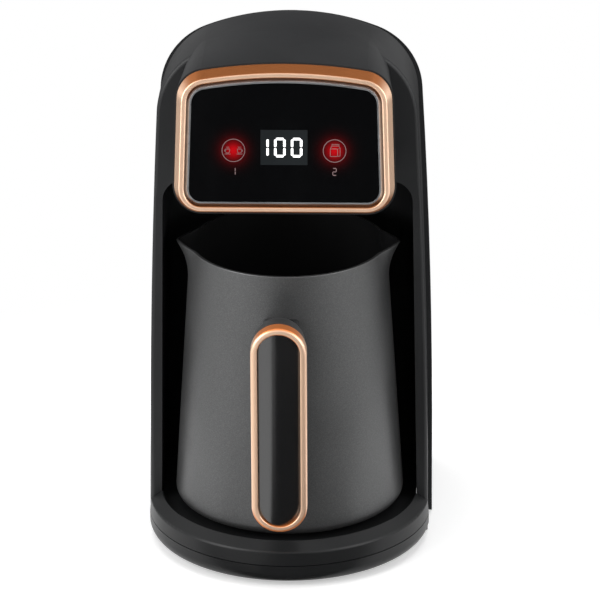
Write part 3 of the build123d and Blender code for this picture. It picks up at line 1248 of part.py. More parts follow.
with BuildPart() as handle_body:
    add(handle_back.part)
    post(HANDLE_SEAM_FACE, BRACKET_MIDDLE, WELL_RADIUS, -HANDLE_SCREW_WELL, mode=Mode.SUBTRACT)
    post(HANDLE_SEAM_FACE, BRACKET_MIDDLE, SHELL_HOLE, -HANDLE_BACK_DEPTH, mode=Mode.SUBTRACT)
export(handle_body, "handle_body")

with BuildPart() as handle_ring:
    with BuildSketch(HANDLE_SEAM_FACE):
        with Locations(HANDLE_MIDDLE):
            stadium(HANDLE_WIDTH, HANDLE_HEIGHT)
            stadium(HANDLE_WIDTH, HANDLE_HEIGHT, HANDLE_RING_WIDTH, mode=Mode.SUBTRACT)
    extrude(amount=HANDLE_RING_DEPTH)
    fillet(handle_ring.faces().sort_by(Axis.Y)[0].edges(), HANDLE_RING_ROUND)
export(handle_ring, "handle_ring")

with BuildPart() as handle_insert:
    with BuildSketch(HANDLE_SEAM_FACE):
        with Locations(HANDLE_MIDDLE):
            stadium(HANDLE_WIDTH, HANDLE_HEIGHT, HANDLE_RING_WIDTH + FIT)
    extrude(amount=HANDLE_RING_DEPTH - INSERT_SUNK)
    fillet(handle_insert.faces().sort_by(Axis.Y)[0].edges(), INSERT_ROUND)
export(handle_insert, "handle_insert")

with BuildPart() as handle_bracket:
    block(
        (BRACKET_LEFT, HANDLE_BACK_Y, BRACKET_LOW),
        (BRACKET_RIGHT, POT_Y - POT_RIM_RADIUS, BRACKET_HIGH),
    )
    add(pot_cone(), mode=Mode.SUBTRACT)
    bracket_end = facing_front(HANDLE_BACK_Y)
    post(bracket_end, BRACKET_MIDDLE, SHELL_PILOT, -HANDLE_SCREW_LENGTH, mode=Mode.SUBTRACT)
export(handle_bracket, "handle_bracket")

with BuildPart() as handle_neck:
    pot_side_y = POT_Y - POT_RIM_RADIUS + POT_WALL
    handle_side_y = HANDLE_BACK_Y - HANDLE_BACK_ROUND
    with BuildSketch(Plane.YZ.offset(HANDLE_X - NECK_WIDTH / 2)):
        Polygon(
            (pot_side_y, NECK_LOW[0]),
            (pot_side_y, NECK_HIGH[0]),
            (handle_side_y, NECK_HIGH[1]),
            (handle_side_y, NECK_LOW[1]),
            align=None,
        )
    extrude(amount=NECK_WIDTH)
    lengthwise = handle_neck.edges().filter_by(Axis.X, reverse=True)
    fillet(lengthwise.filter_by(Axis.Z, reverse=True), EDGE_ROUND)
    add(pot_cone(), mode=Mode.SUBTRACT)
    add(handle_back.part, mode=Mode.SUBTRACT)
    block(
        (BRACKET_LEFT, HANDLE_BACK_Y - PAST, BRACKET_LOW),
        (BRACKET_RIGHT, POT_Y, BRACKET_HIGH),
        mode=Mode.SUBTRACT,
    )
export(handle_neck, "handle_neck")

with BuildPart() as handle_screw:
    seat = HANDLE_SEAM_FACE.offset(-HANDLE_SCREW_WELL)
    screw_length = HANDLE_BACK_DEPTH - HANDLE_SCREW_WELL + HANDLE_SCREW_LENGTH - TIP_GAP
    screws(seat, BRACKET_MIDDLE, SHELL_SCREW, screw_length)
export(handle_screw, "handle_screw")
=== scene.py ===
"""Finish, detail and studio for the electric Turkish coffee maker, around its fixed CAD frame.

Metres, +Z up, X to the right, -Y towards the user. Sizes that belong to the CAD model are read
from the frame; the rest are settings with their defaults, in the property groups below.
"""

import json
from math import atan2, cos, hypot, pi, radians, sin, sqrt

import bmesh
import bpy
from bpy.props import FloatProperty, FloatVectorProperty, IntProperty, PointerProperty
from bpy.types import Operator, Panel, PropertyGroup
from mathutils import Matrix, Vector


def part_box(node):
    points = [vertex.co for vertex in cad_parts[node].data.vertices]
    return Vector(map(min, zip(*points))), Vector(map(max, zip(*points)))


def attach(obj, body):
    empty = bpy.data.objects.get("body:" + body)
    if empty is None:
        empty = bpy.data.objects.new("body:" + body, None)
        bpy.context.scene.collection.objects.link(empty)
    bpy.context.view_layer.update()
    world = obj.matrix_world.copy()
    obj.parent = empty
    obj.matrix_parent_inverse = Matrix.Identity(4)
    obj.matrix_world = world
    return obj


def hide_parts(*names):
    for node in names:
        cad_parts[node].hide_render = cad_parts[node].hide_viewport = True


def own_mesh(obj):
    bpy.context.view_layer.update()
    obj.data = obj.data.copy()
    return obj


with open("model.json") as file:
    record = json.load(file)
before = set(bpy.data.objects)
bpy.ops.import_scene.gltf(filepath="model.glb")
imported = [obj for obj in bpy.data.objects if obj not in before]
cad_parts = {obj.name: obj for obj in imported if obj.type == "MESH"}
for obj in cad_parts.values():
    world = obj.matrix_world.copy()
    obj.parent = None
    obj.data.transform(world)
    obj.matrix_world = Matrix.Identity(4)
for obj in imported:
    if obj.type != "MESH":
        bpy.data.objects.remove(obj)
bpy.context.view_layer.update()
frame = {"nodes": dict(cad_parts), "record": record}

bl_info = {
    "name": "Coffee maker",
    "version": (1, 0, 0),
    "blender": (4, 5, 0),
    "location": "3D View > Sidebar > Coffee maker",
    "description": "Builds the visible pieces and finishes of an electric coffee maker",
    "category": "Object",
}

MM = 0.001
NEAR = 0.01 * MM  # a point this close to a face counts as on it
SAME = 0.001 * MM  # points this close count as one
WHITE = (1.0, 1.0, 1.0, 1.0)
BLACK = (0.0, 0.0, 0.0, 1.0)

# ---------------------------------------------------------------- places read from the frame
POT_LOW, POT_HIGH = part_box("pot_vessel")
POT_MIDDLE = Vector(((POT_LOW.x + POT_HIGH.x) / 2, (POT_LOW.y + POT_HIGH.y) / 2, 0))
RING_LOW, RING_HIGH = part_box("handle_ring")
INSERT_LOW, INSERT_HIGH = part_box("handle_insert")
MODULE_LOW, MODULE_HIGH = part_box("display_module")
ARCH_SETBACK = 62.3 * MM  # arch's front behind the base's front
ARCH_FRONT_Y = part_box("base_top")[0].y + ARCH_SETBACK
PANEL_LEAN = radians(10.5)
MODULE_HEIGHT = 15.4 * MM
MODULE_SUNK = 0.65 * MM  # display module behind the front of the trim
PRINT_SUNK = 0.70 * MM  # key marks and lights behind the front of the trim
WINDOW_FOOT = 21.8 * MM  # lower edge of the display module over the panel's foot
PANEL_ORIGIN = Vector(
    (
        0,
        MODULE_LOW.y - WINDOW_FOOT * sin(PANEL_LEAN) - MODULE_SUNK * cos(PANEL_LEAN),
        MODULE_HIGH.z - (WINDOW_FOOT + MODULE_HEIGHT) * cos(PANEL_LEAN) + MODULE_SUNK * sin(PANEL_LEAN),
    )
)
PANEL_RIGHT = Vector((1, 0, 0))
PANEL_UP = Vector((0, sin(PANEL_LEAN), cos(PANEL_LEAN)))
PANEL_OUT = Vector((0, -cos(PANEL_LEAN), sin(PANEL_LEAN)))
PAINTED = {"handle_body": "pot_steel"}  # parts that share the pot's paint


# ---------------------------------------------------------------- settings
class StageSettings(PropertyGroup):
    """Camera, lamps and floor."""

    distance: FloatProperty(
        name="Distance", description="Camera to the arch's front face", default=1.8, unit="LENGTH"
    )
    azimuth: FloatProperty(
        name="Azimuth", description="Camera round to the right", default=radians(2.05), subtype="ANGLE"
    )
    elevation: FloatProperty(
        name="Elevation", description="Camera above the floor", default=radians(21.79), subtype="ANGLE"
    )
    roll: FloatProperty(name="Roll", description="Camera's tilt", default=radians(-0.35), subtype="ANGLE")
    lens: FloatProperty(name="Lens", description="Focal length on a 36 mm sensor", default=239.3)
    target_height: FloatProperty(
        name="Target height", description="Point on the arch's front face", default=0.130, unit="LENGTH"
    )
    aim_right: FloatProperty(
        name="Aim right", description="View centre beside the target", default=0.0053, unit="LENGTH"
    )
    aim_down: FloatProperty(
        name="Aim down", description="View centre under the target", default=0.0143, unit="LENGTH"
    )
    floor_colour: FloatVectorProperty(
        name="Floor", description="Colour of the floor", default=(0.8, 0.8, 0.8), subtype="COLOR"
    )


class BodySettings(PropertyGroup):
    """Housing and base."""

    shell_colour: FloatVectorProperty(
        name="Shell", description="Front and rear shells", default=(0.0165, 0.0170, 0.0180), subtype="COLOR"
    )
    base_colour: FloatVectorProperty(
        name="Base", description="Base and its pan", default=(0.0108, 0.0112, 0.0118), subtype="COLOR"
    )


class PanelSettings(PropertyGroup):
    """Control panel."""

    gold_colour: FloatVectorProperty(
        name="Gold", description="Trim and handle ring", default=(1.0, 0.67, 0.47), subtype="COLOR"
    )
    # Painted reflection colour of the trim's faces that turn up or down.
    painted_reflection_gold: FloatVectorProperty(
        name="Deep gold",
        description="Sides of the trim that face up or down",
        default=(0.35, 0.112, 0.028),
        subtype="COLOR",
    )
    # Painted reflection colour of the ring's faces that turn up or down.
    ring_painted_reflection_gold: FloatVectorProperty(
        name="Deep gold of the ring",
        description="Sides of the handle's ring that face up or down",
        default=(0.85, 0.27, 0.08),
        subtype="COLOR",
    )
    glow_colour: FloatVectorProperty(
        name="Glow", description="Light behind the keys", default=(0.75, 0.003, 0.008), subtype="COLOR"
    )
    window_rise: FloatProperty(
        name="Window rise", description="Window centre over the panel's foot", default=0.0295, unit="LENGTH"
    )
    digit_height: FloatProperty(
        name="Digit height", description="Digits of the display", default=0.0086, unit="LENGTH"
    )
    digit_width: FloatProperty(name="Digit width", description="One digit", default=0.005, unit="LENGTH")
    digit_pitch: FloatProperty(
        name="Digit pitch", description="From digit to digit", default=0.0073, unit="LENGTH"
    )
    digit_shift: FloatProperty(
        name="Digit shift",
        description="Middle digit from the window's middle",
        default=-0.0018,
        unit="LENGTH",
    )
    digit_stroke: FloatProperty(
        name="Digit stroke", description="Width of a digit's bars", default=0.00105, unit="LENGTH"
    )
    key_spread: FloatProperty(
        name="Key spread", description="Keys each side of the middle", default=0.022, unit="LENGTH"
    )
    key_rise: FloatProperty(
        name="Key rise", description="Key centres over the panel's foot", default=0.0281, unit="LENGTH"
    )
    key_radius: FloatProperty(
        name="Key radius", description="Printed ring of a key", default=0.0051, unit="LENGTH"
    )
    key_line: FloatProperty(
        name="Key line", description="Width of the printed ring", default=0.00030, unit="LENGTH"
    )
    mark_drop: FloatProperty(
        name="Mark drop", description="Numeral under its key", default=0.0092, unit="LENGTH"
    )
    mark_height: FloatProperty(
        name="Mark height", description="Numeral under its key", default=0.0034, unit="LENGTH"
    )


class PotSettings(PropertyGroup):
    """Pot."""

    pot_colour: FloatVectorProperty(
        name="Pot", description="Paint outside the pot", default=(0.112, 0.113, 0.114), subtype="COLOR"
    )
    wall: FloatProperty(name="Wall", description="Thickness of the wall", default=0.0014, unit="LENGTH")
    rim_radius: FloatProperty(
        name="Rim radius", description="Outside at the rim", default=0.04435, unit="LENGTH"
    )
    foot_radius: FloatProperty(
        name="Foot radius", description="Outside at the foot", default=0.0526, unit="LENGTH"
    )
    foot_round: FloatProperty(
        name="Foot round", description="Round under the wall", default=0.004, unit="LENGTH"
    )
    pad_height: FloatProperty(
        name="Pad height", description="Contact pad under the pot", default=0.0017, unit="LENGTH"
    )
    pad_radius: FloatProperty(
        name="Pad radius", description="Contact pad under the pot", default=0.036, unit="LENGTH"
    )
    lip_depth: FloatProperty(
        name="Lip depth", description="Height of a pouring lip", default=0.017, unit="LENGTH"
    )
    lip_reach: FloatProperty(
        name="Lip reach", description="Lip's tip beyond the rim", default=0.0063, unit="LENGTH"
    )
    lip_angle: FloatProperty(
        name="Lip angle",
        description="Half width of a lip round the rim",
        default=radians(21),
        subtype="ANGLE",
    )
    ring_width: FloatProperty(
        name="Ring width",
        description="Gold ring of the handle, seen from the front",
        default=0.0029,
        unit="LENGTH",
    )
    ring_drop: FloatProperty(
        name="Ring drop", description="Ring's top under the handle's top", default=0.0013, unit="LENGTH"
    )
    ring_round: FloatProperty(
        name="Ring round", description="Outer edge of the ring", default=0.0016, unit="LENGTH"
    )
    ring_lip: FloatProperty(
        name="Ring lip", description="Inner edge of the ring", default=0.0005, unit="LENGTH"
    )
    insert_round: FloatProperty(
        name="Insert round",
        description="Half width of the ridge of the handle's insert",
        default=0.0034,
        unit="LENGTH",
    )
    insert_ridge: FloatProperty(
        name="Insert ridge", description="Ridge left of the insert's middle", default=0.0022, unit="LENGTH"
    )
    insert_turn: FloatProperty(
        name="Insert turn",
        description="Facets each side of the ridge",
        default=radians(10),
        subtype="ANGLE",
    )
    sides: IntProperty(name="Sides", description="Steps round the pot", default=144)


# ---------------------------------------------------------------- helpers for meshes
def alone(obj):
    """Makes one object the only selected one, and the active one."""
    bpy.ops.object.select_all(action="DESELECT")
    obj.select_set(True)
    bpy.context.view_layer.objects.active = obj


def named(name):
    """Names the new active object and its mesh."""
    obj = bpy.context.object
    obj.name = name
    obj.data.name = name
    return obj


def edit(obj):
    """Opens a piece's mesh in edit mode with nothing selected."""
    alone(obj)
    bpy.ops.object.mode_set(mode="EDIT")
    bpy.ops.mesh.select_all(action="DESELECT")


def pick(obj, kind, test):
    """Selects the vertices, edges or faces that pass a test, in edit mode."""
    bpy.ops.mesh.select_mode(type={"verts": "VERT", "edges": "EDGE", "faces": "FACE"}[kind])
    bpy.ops.mesh.select_all(action="DESELECT")
    mesh = bmesh.from_edit_mesh(obj.data)
    found = [item for item in getattr(mesh, kind) if test(item)]
    if not found:
        raise RuntimeError(f"{obj.name}: nothing to select")
    for item in found:
        item.select_set(True)
    mesh.select_flush_mode()
    bmesh.update_edit_mesh(obj.data)


def round_edges(obj, test, offset, segments):
    """Bevels the edges that pass a test, in edit mode."""
    pick(obj, "edges", test)
    bpy.ops.mesh.bevel(offset=offset, segments=segments, affect="EDGES")


def face_outward():
    """Selects everything and turns the faces outwards, in edit mode."""
    bpy.ops.mesh.select_all(action="SELECT")
    bpy.ops.mesh.normals_make_consistent(inside=False)


def close_edit():
    """Leaves edit mode."""
    bpy.ops.object.mode_set(mode="OBJECT")


def apply_modifier(obj, kind, **values):
    """Adds a modifier with its values and applies it."""
    alone(obj)
    modifier = obj.modifiers.new(kind.title(), kind)
    for key, value in values.items():
        setattr(modifier, key, value)
    bpy.ops.object.modifier_apply(modifier=modifier.name)


def finish_piece(obj, body, finish, replaced, sharp=35):
    """Applies a piece's place, smooths it, dresses it and hangs it on its body."""
    alone(obj)
    bpy.ops.object.transform_apply(location=True, rotation=True, scale=True)
    bpy.ops.object.shade_smooth_by_angle(angle=radians(sharp))
    obj.data.materials.clear()
    obj.data.materials.append(bpy.data.materials[finish])
    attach(obj, body)
    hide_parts(*replaced)


def tower(name, middle, rows, sides):
    """A round wall of rows (radius, height): a circle, extruded and scaled row by row."""
    bpy.ops.object.select_all(action="DESELECT")
    radius, height = rows[0]
    bpy.ops.mesh.primitive_circle_add(
        vertices=sides, radius=radius, location=(middle.x, middle.y, height), fill_type="NOTHING"
    )
    obj = named(name)
    bpy.ops.object.transform_apply(location=True)
    bpy.ops.object.mode_set(mode="EDIT")
    bpy.ops.mesh.select_all(action="SELECT")
    for new_radius, new_height in rows[1:]:
        bpy.ops.mesh.extrude_region_move(
            TRANSFORM_OT_translate={"value": (0, 0, new_height - height)}
        )
        ratio = new_radius / radius
        bpy.ops.transform.resize(
            value=(ratio, ratio, 1), center_override=(middle.x, middle.y, new_height)
        )
        radius, height = new_radius, new_height
    close_edit()
    return obj


def on_panel(x, rise, out):
    """Point of the control panel: to the right, up from its foot and out from the trim's front."""
    return PANEL_ORIGIN + PANEL_RIGHT * x + PANEL_UP * rise + PANEL_OUT * out


def panel_matrix(x, rise, out):
    """Place on the panel for a flat piece that is drawn in XY and faces +Z."""
    turn = Matrix((PANEL_RIGHT, PANEL_UP, PANEL_OUT)).transposed().to_4x4()
    return Matrix.Translation(on_panel(x, rise, out)) @ turn


# ---------------------------------------------------------------- helpers for shader nodes
def plug(socket, value):
    """Feeds a socket from another socket, or gives it a value of its own."""
    if isinstance(value, bpy.types.NodeSocket):
        socket.id_data.links.new(value, socket)
    else:
        socket.default_value = value


def plug_in(node, values):
    """Feeds a node's inputs by their labels."""
    for label, value in values.items():
        plug(node.inputs[label], value)


def new_node(tree, kind, values=None, **traits):
    """A shader node with its traits set and its inputs fed."""
    node = tree.nodes.new(f"ShaderNode{kind}")
    for trait, value in traits.items():
        setattr(node, trait, value)
    plug_in(node, values or {})
    return node


def noise(tree, scale, detail, vector, roughness=0.5):
    """Noise texture on a vector; the scale is a number or a socket."""
    values = {"Scale": scale, "Detail": detail, "Roughness": roughness, "Vector": vector}
    return new_node(tree, "TexNoise", values).outputs["Fac"]


def span(tree, value, low, high, new_low=0.0, new_high=1.0):
    """Maps a range of a value onto another, clamped and smooth."""
    values = {"Value": value, "From Min": low, "From Max": high, "To Min": new_low, "To Max": new_high}
    return new_node(tree, "MapRange", values, interpolation_type="SMOOTHSTEP").outputs["Result"]


def maths(tree, operation, first, second=0.0):
    """Math node; each side is a number or a socket."""
    node = new_node(tree, "Math", operation=operation)
    for socket, value in zip(node.inputs, (first, second)):
        plug(socket, value)
    return node.outputs["Value"]


def object_coordinates(tree):
    """Object coordinates, in metres."""
    return new_node(tree, "TexCoord").outputs["Object"]


def stretched(tree, vector, scale):
    """A vector scaled by axis."""
    return new_node(tree, "Mapping", {"Scale": scale, "Vector": vector}).outputs["Vector"]


# ---------------------------------------------------------------- shader node groups
def new_group(name, inputs, outputs):
    """A shader node group with named sockets; gives the tree and its two end nodes."""
    tree = bpy.data.node_groups.new(name, "ShaderNodeTree")
    for label, value in inputs:
        kind = "NodeSocketVector" if isinstance(value, tuple) else "NodeSocketFloat"
        socket = tree.interface.new_socket(label, in_out="INPUT", socket_type=kind)
        socket.default_value = value
    for label in outputs:
        tree.interface.new_socket(label, in_out="OUTPUT", socket_type="NodeSocketFloat")
    return tree, tree.nodes.new("NodeGroupInput"), tree.nodes.new("NodeGroupOutput")


def group_grain():
    """Fine eroded grain of moulded plastic: a height and a soft mottle."""
    tree, enter, leave = new_group("Moulded grain", [("Scale", 2600.0)], ["Height", "Mottle"])
    place = object_coordinates(tree)
    fine = noise(tree, enter.outputs["Scale"], 3.0, place, 0.6)
    patches = noise(tree, 24.0, 2.0, place)
    plug_in(leave, {"Height": fine, "Mottle": span(tree, patches, 0.35, 0.65)})


def group_handling():
    """Faint marks of handling: long soft wipes."""
    tree, enter, leave = new_group("Handling", [("Scale", 30.0)], ["Mask"])
    place = stretched(tree, object_coordinates(tree), (1.0, 1.0, 0.35))
    wipes = noise(tree, enter.outputs["Scale"], 4.0, place, 0.62)
    plug_in(leave, {"Mask": span(tree, wipes, 0.45, 0.75)})


def group_flake():
    """Metal flakes in paint: a sparkle for each small cell."""
    tree, enter, leave = new_group("Paint flake", [("Scale", 2400.0)], ["Sparkle", "Height"])
    spots = {"Vector": object_coordinates(tree), "Scale": enter.outputs["Scale"]}
    cells = new_node(tree, "TexVoronoi", spots)
    split = new_node(tree, "SeparateColor", {"Color": cells.outputs["Color"]})
    sparkle = span(tree, split.outputs["Red"], 0.35, 1.0)
    plug_in(leave, {"Sparkle": sparkle, "Height": split.outputs["Green"]})


def group_brushed():
    """Drawn or turned metal: fine streaks along X."""
    tree, enter, leave = new_group("Brushed", [("Scale", 900.0)], ["Streak"])
    place = stretched(tree, object_coordinates(tree), (0.06, 1.0, 1.0))
    plug_in(leave, {"Streak": noise(tree, enter.outputs["Scale"], 4.0, place, 0.7)})


def group_cast():
    """Cast metal: a coarse skin with pits."""
    tree, enter, leave = new_group("Cast skin", [("Scale", 700.0)], ["Height", "Pits"])
    place = object_coordinates(tree)
    skin = noise(tree, enter.outputs["Scale"], 5.0, place, 0.7)
    spots = noise(tree, 240.0, 2.0, place)
    plug_in(leave, {"Height": skin, "Pits": span(tree, spots, 0.60, 0.72)})


def group_traces():
    """Copper tracks under a circuit board's lacquer, and its pads."""
    tree, enter, leave = new_group("Board tracks", [("Scale", 160.0)], ["Tracks", "Pads"])
    place = object_coordinates(tree)
    spots = {"Vector": place, "Scale": enter.outputs["Scale"]}
    cells = new_node(tree, "TexVoronoi", spots, distance="CHEBYCHEV", feature="F1")
    waves = {"Vector": place, "Scale": 60.0, "Distortion": 6.0, "Detail Scale": 3.0}
    bands = new_node(tree, "TexWave", waves)
    pads = span(tree, cells.outputs["Distance"], 0.12, 0.10)
    plug_in(leave, {"Tracks": span(tree, bands.outputs["Fac"], 0.72, 0.80), "Pads": pads})


def group_glow():
    """Round glow about a point, as strong as 1 in its middle."""
    tree, enter, leave = new_group("Glow", [("Centre", (0.0, 0.0, 0.0)), ("Reach", 0.01)], ["Strength"])
    gap = new_node(tree, "VectorMath", operation="DISTANCE")
    plug(gap.inputs[0], object_coordinates(tree))
    plug(gap.inputs[1], enter.outputs["Centre"])
    ratio = maths(tree, "DIVIDE", gap.outputs["Value"], enter.outputs["Reach"])
    squared = maths(tree, "MULTIPLY", ratio, ratio)
    plug_in(leave, {"Strength": maths(tree, "EXPONENT", maths(tree, "MULTIPLY", squared, -1.0))})


def make_groups():
    """Builds every node group once."""
    for build in (
        group_grain,
        group_handling,
        group_flake,
        group_brushed,
        group_cast,
        group_traces,
        group_glow,
    ):
        build()


# ---------------------------------------------------------------- materials
def new_material(name):
    """A material with its Principled shader; a plain one of the same name steps aside."""
    plain = bpy.data.materials.get(name)
    if plain:
        plain.name = f"{name}_plain"
    material = bpy.data.materials.new(name)
    material.use_nodes = True
    return material, material.node_tree, material.node_tree.nodes["Principled BSDF"]


def use_group(tree, name, **values):
    """Places a node group in a material with its own values."""
    return new_node(tree, "Group", values, node_tree=bpy.data.node_groups[name]).outputs


def bump(tree, height, distance):
    """The normal of a surface that has a height on it."""
    return new_node(tree, "Bump", {"Height": height, "Distance": distance}).outputs["Normal"]


def blend_colour(tree, mask, first, second):
    """Mixes two colours, each a colour or a socket, by a mask."""
    node = new_node(tree, "Mix", {"Factor": mask}, data_type="RGBA")
    for label, colour in (("A", first), ("B", second)):
        socket = next(s for s in node.inputs if s.name == label and s.type == "RGBA")
        plug(socket, colour if isinstance(colour, bpy.types.NodeSocket) else (*colour[:3], 1.0))
    return next(s for s in node.outputs if s.type == "RGBA")


def tint(colour, ratio):
    """A colour made lighter or darker."""
    return tuple(min(1.0, channel * ratio) for channel in colour[:3])


def plastic(name, colour, rough, grain=2600.0, depth=0.02, specular=0.5):
    """Moulded plastic: eroded grain, a faint mottle and marks of handling."""
    material, tree, shader = new_material(name)
    skin = use_group(tree, "Moulded grain", Scale=grain)
    marks = use_group(tree, "Handling")
    dress = {
        "Base Color": blend_colour(tree, skin["Mottle"], tint(colour, 0.92), tint(colour, 1.08)),
        "Roughness": span(tree, marks["Mask"], 0.0, 1.0, rough, rough * 0.86),
        "Specular IOR Level": specular,
        "Normal": bump(tree, skin["Height"], depth * MM),
    }
    plug_in(shader, dress)
    return material


def brushed_metal(name, colour, rough):
    """Steel or aluminium with fine streaks."""
    material, tree, shader = new_material(name)
    streak = use_group(tree, "Brushed", Scale=900.0)["Streak"]
    dress = {
        "Base Color": blend_colour(tree, streak, tint(colour, 0.88), tint(colour, 1.10)),
        "Roughness": span(tree, streak, 0.2, 0.8, rough * 0.8, rough * 1.2),
        "Metallic": 1.0,
        "Normal": bump(tree, streak, 0.004 * MM),
    }
    plug_in(shader, dress)
    return material


def cast_metal(name, colour, rough):
    """Die-cast metal with a dull pitted skin."""
    material, tree, shader = new_material(name)
    skin = use_group(tree, "Cast skin")
    dress = {
        "Base Color": blend_colour(tree, skin["Pits"], colour, tint(colour, 0.7)),
        "Roughness": span(tree, skin["Height"], 0.3, 0.7, rough * 0.85, rough * 1.1),
        "Metallic": 1.0,
        "Normal": bump(tree, skin["Height"], 0.02 * MM),
    }
    plug_in(shader, dress)
    return material


def facing_up_or_down(tree, low, high):
    """1 where a surface faces up or down, 0 where it faces the way the panel does; the mask of the gold's
    painted reflection colour.
    """
    geometry = new_node(tree, "NewGeometry")
    split = new_node(tree, "SeparateXYZ", {"Vector": geometry.outputs["Normal"]})
    lean = maths(tree, "ABSOLUTE", maths(tree, "SUBTRACT", split.outputs["Z"], sin(PANEL_LEAN)))
    return span(tree, lean, low, high)


def rose_gold(name, painted_reflection):
    """Bright trim: thin gold coating over plastic, with a deeper painted reflection colour where it turns
    up or down.
    """
    gold = bpy.context.scene.coffee_panel.gold_colour
    material, tree, shader = new_material(name)
    streak = use_group(tree, "Brushed", Scale=1400.0)["Streak"]
    marks = use_group(tree, "Handling", Scale=60.0)
    worn = blend_colour(tree, marks["Mask"], gold, tint(gold, 0.94))
    painted_reflection_mask = facing_up_or_down(tree, 0.15, 0.62)
    dress = {
        # Painted reflection: faces that turn up or down take the deeper colour.
        "Base Color": blend_colour(tree, painted_reflection_mask, worn, painted_reflection),
        "Roughness": span(tree, streak, 0.2, 0.8, 0.31, 0.37),
        "Metallic": span(tree, painted_reflection_mask, 0.0, 1.0, 0.70, 0.6),
        "Normal": bump(tree, streak, 0.001 * MM),
    }
    plug_in(shader, dress)
    return material


def pot_paint():
    """Satin paint with metal flake over the pot's steel."""
    colour = bpy.context.scene.coffee_pot.pot_colour
    material, tree, shader = new_material("pot_steel")
    flake = use_group(tree, "Paint flake", Scale=5200.0)
    skin = use_group(tree, "Moulded grain", Scale=1500.0)
    dress = {
        "Base Color": blend_colour(tree, flake["Sparkle"], tint(colour, 0.86), tint(colour, 1.22)),
        "Roughness": span(tree, skin["Mottle"], 0.0, 1.0, 0.40, 0.46),
        "Metallic": 0.8,
        "Normal": bump(tree, skin["Height"], 0.012 * MM),
    }
    plug_in(shader, dress)
    return material


def pot_inside():
    """Dark non-stick coat inside the pot."""
    return plastic("pot_coat", (0.010, 0.010, 0.0105), 0.42, 1800.0, 0.03, 0.25)


def insert_gloss():
    """Deep gloss of the handle's insert, with a trace of wiping."""
    material, tree, shader = new_material("insert_gloss")
    wiped = use_group(tree, "Handling", Scale=50.0)["Mask"]
    dress = {
        "Base Color": blend_colour(tree, wiped, (0.0060, 0.0061, 0.0066), (0.0075, 0.0076, 0.0080)),
        "Roughness": span(tree, wiped, 0.0, 1.0, 0.19, 0.23),
        "IOR": 1.75,
        "Specular IOR Level": 1.0,
    }
    plug_in(shader, dress)
    return material


def key_light(tree, side):
    """The light of one key: a strong core in a faint halo."""
    panel = bpy.context.scene.coffee_panel
    centre = tuple(on_panel(side * panel.key_spread, panel.key_rise, -PRINT_SUNK))
    core = use_group(tree, "Glow", Centre=centre, Reach=2.9 * MM)["Strength"]
    halo = use_group(tree, "Glow", Centre=centre, Reach=5.0 * MM)["Strength"]
    return maths(tree, "ADD", maths(tree, "MULTIPLY", core, 0.55), maths(tree, "MULTIPLY", halo, 0.17))


def panel_glass():
    """Near-black glass with the keys' red light shining through it."""
    glow = bpy.context.scene.coffee_panel.glow_colour
    material, tree, shader = new_material("panel_glass")
    wiped = use_group(tree, "Handling", Scale=45.0)["Mask"]
    light = maths(tree, "ADD", key_light(tree, -1), key_light(tree, 1))
    dress = {
        "Base Color": blend_colour(tree, wiped, (0.0022, 0.0023, 0.0026), (0.0030, 0.0031, 0.0034)),
        "Roughness": span(tree, wiped, 0.0, 1.0, 0.05, 0.11),
        "Specular IOR Level": 0.4,
        "Emission Color": blend_colour(tree, light, BLACK, glow),
        "Emission Strength": 1.0,
    }
    plug_in(shader, dress)
    return material


def lit(name, colour, strength):
    """A lit piece, a little uneven over its surface."""
    material, tree, shader = new_material(name)
    skin = use_group(tree, "Moulded grain", Scale=1200.0)
    tone = blend_colour(tree, skin["Mottle"], tint(colour, 0.96), colour)
    dress = {
        "Base Color": tone,
        "Roughness": 0.4,
        "Emission Color": tone,
        "Emission Strength": strength,
    }
    plug_in(shader, dress)
    return material


def circuit_board():
    """Green lacquer over tracks, with tinned pads."""
    material, tree, shader = new_material("board_green")
    marks = use_group(tree, "Board tracks")
    green = blend_colour(tree, marks["Tracks"], (0.010, 0.085, 0.035), (0.020, 0.150, 0.060))
    dress = {
        "Base Color": blend_colour(tree, marks["Pads"], green, (0.55, 0.53, 0.48)),
        "Roughness": span(tree, marks["Pads"], 0.0, 1.0, 0.32, 0.22),
        "Normal": bump(tree, marks["Tracks"], 0.02 * MM),
    }
    plug_in(shader, dress)
    return material


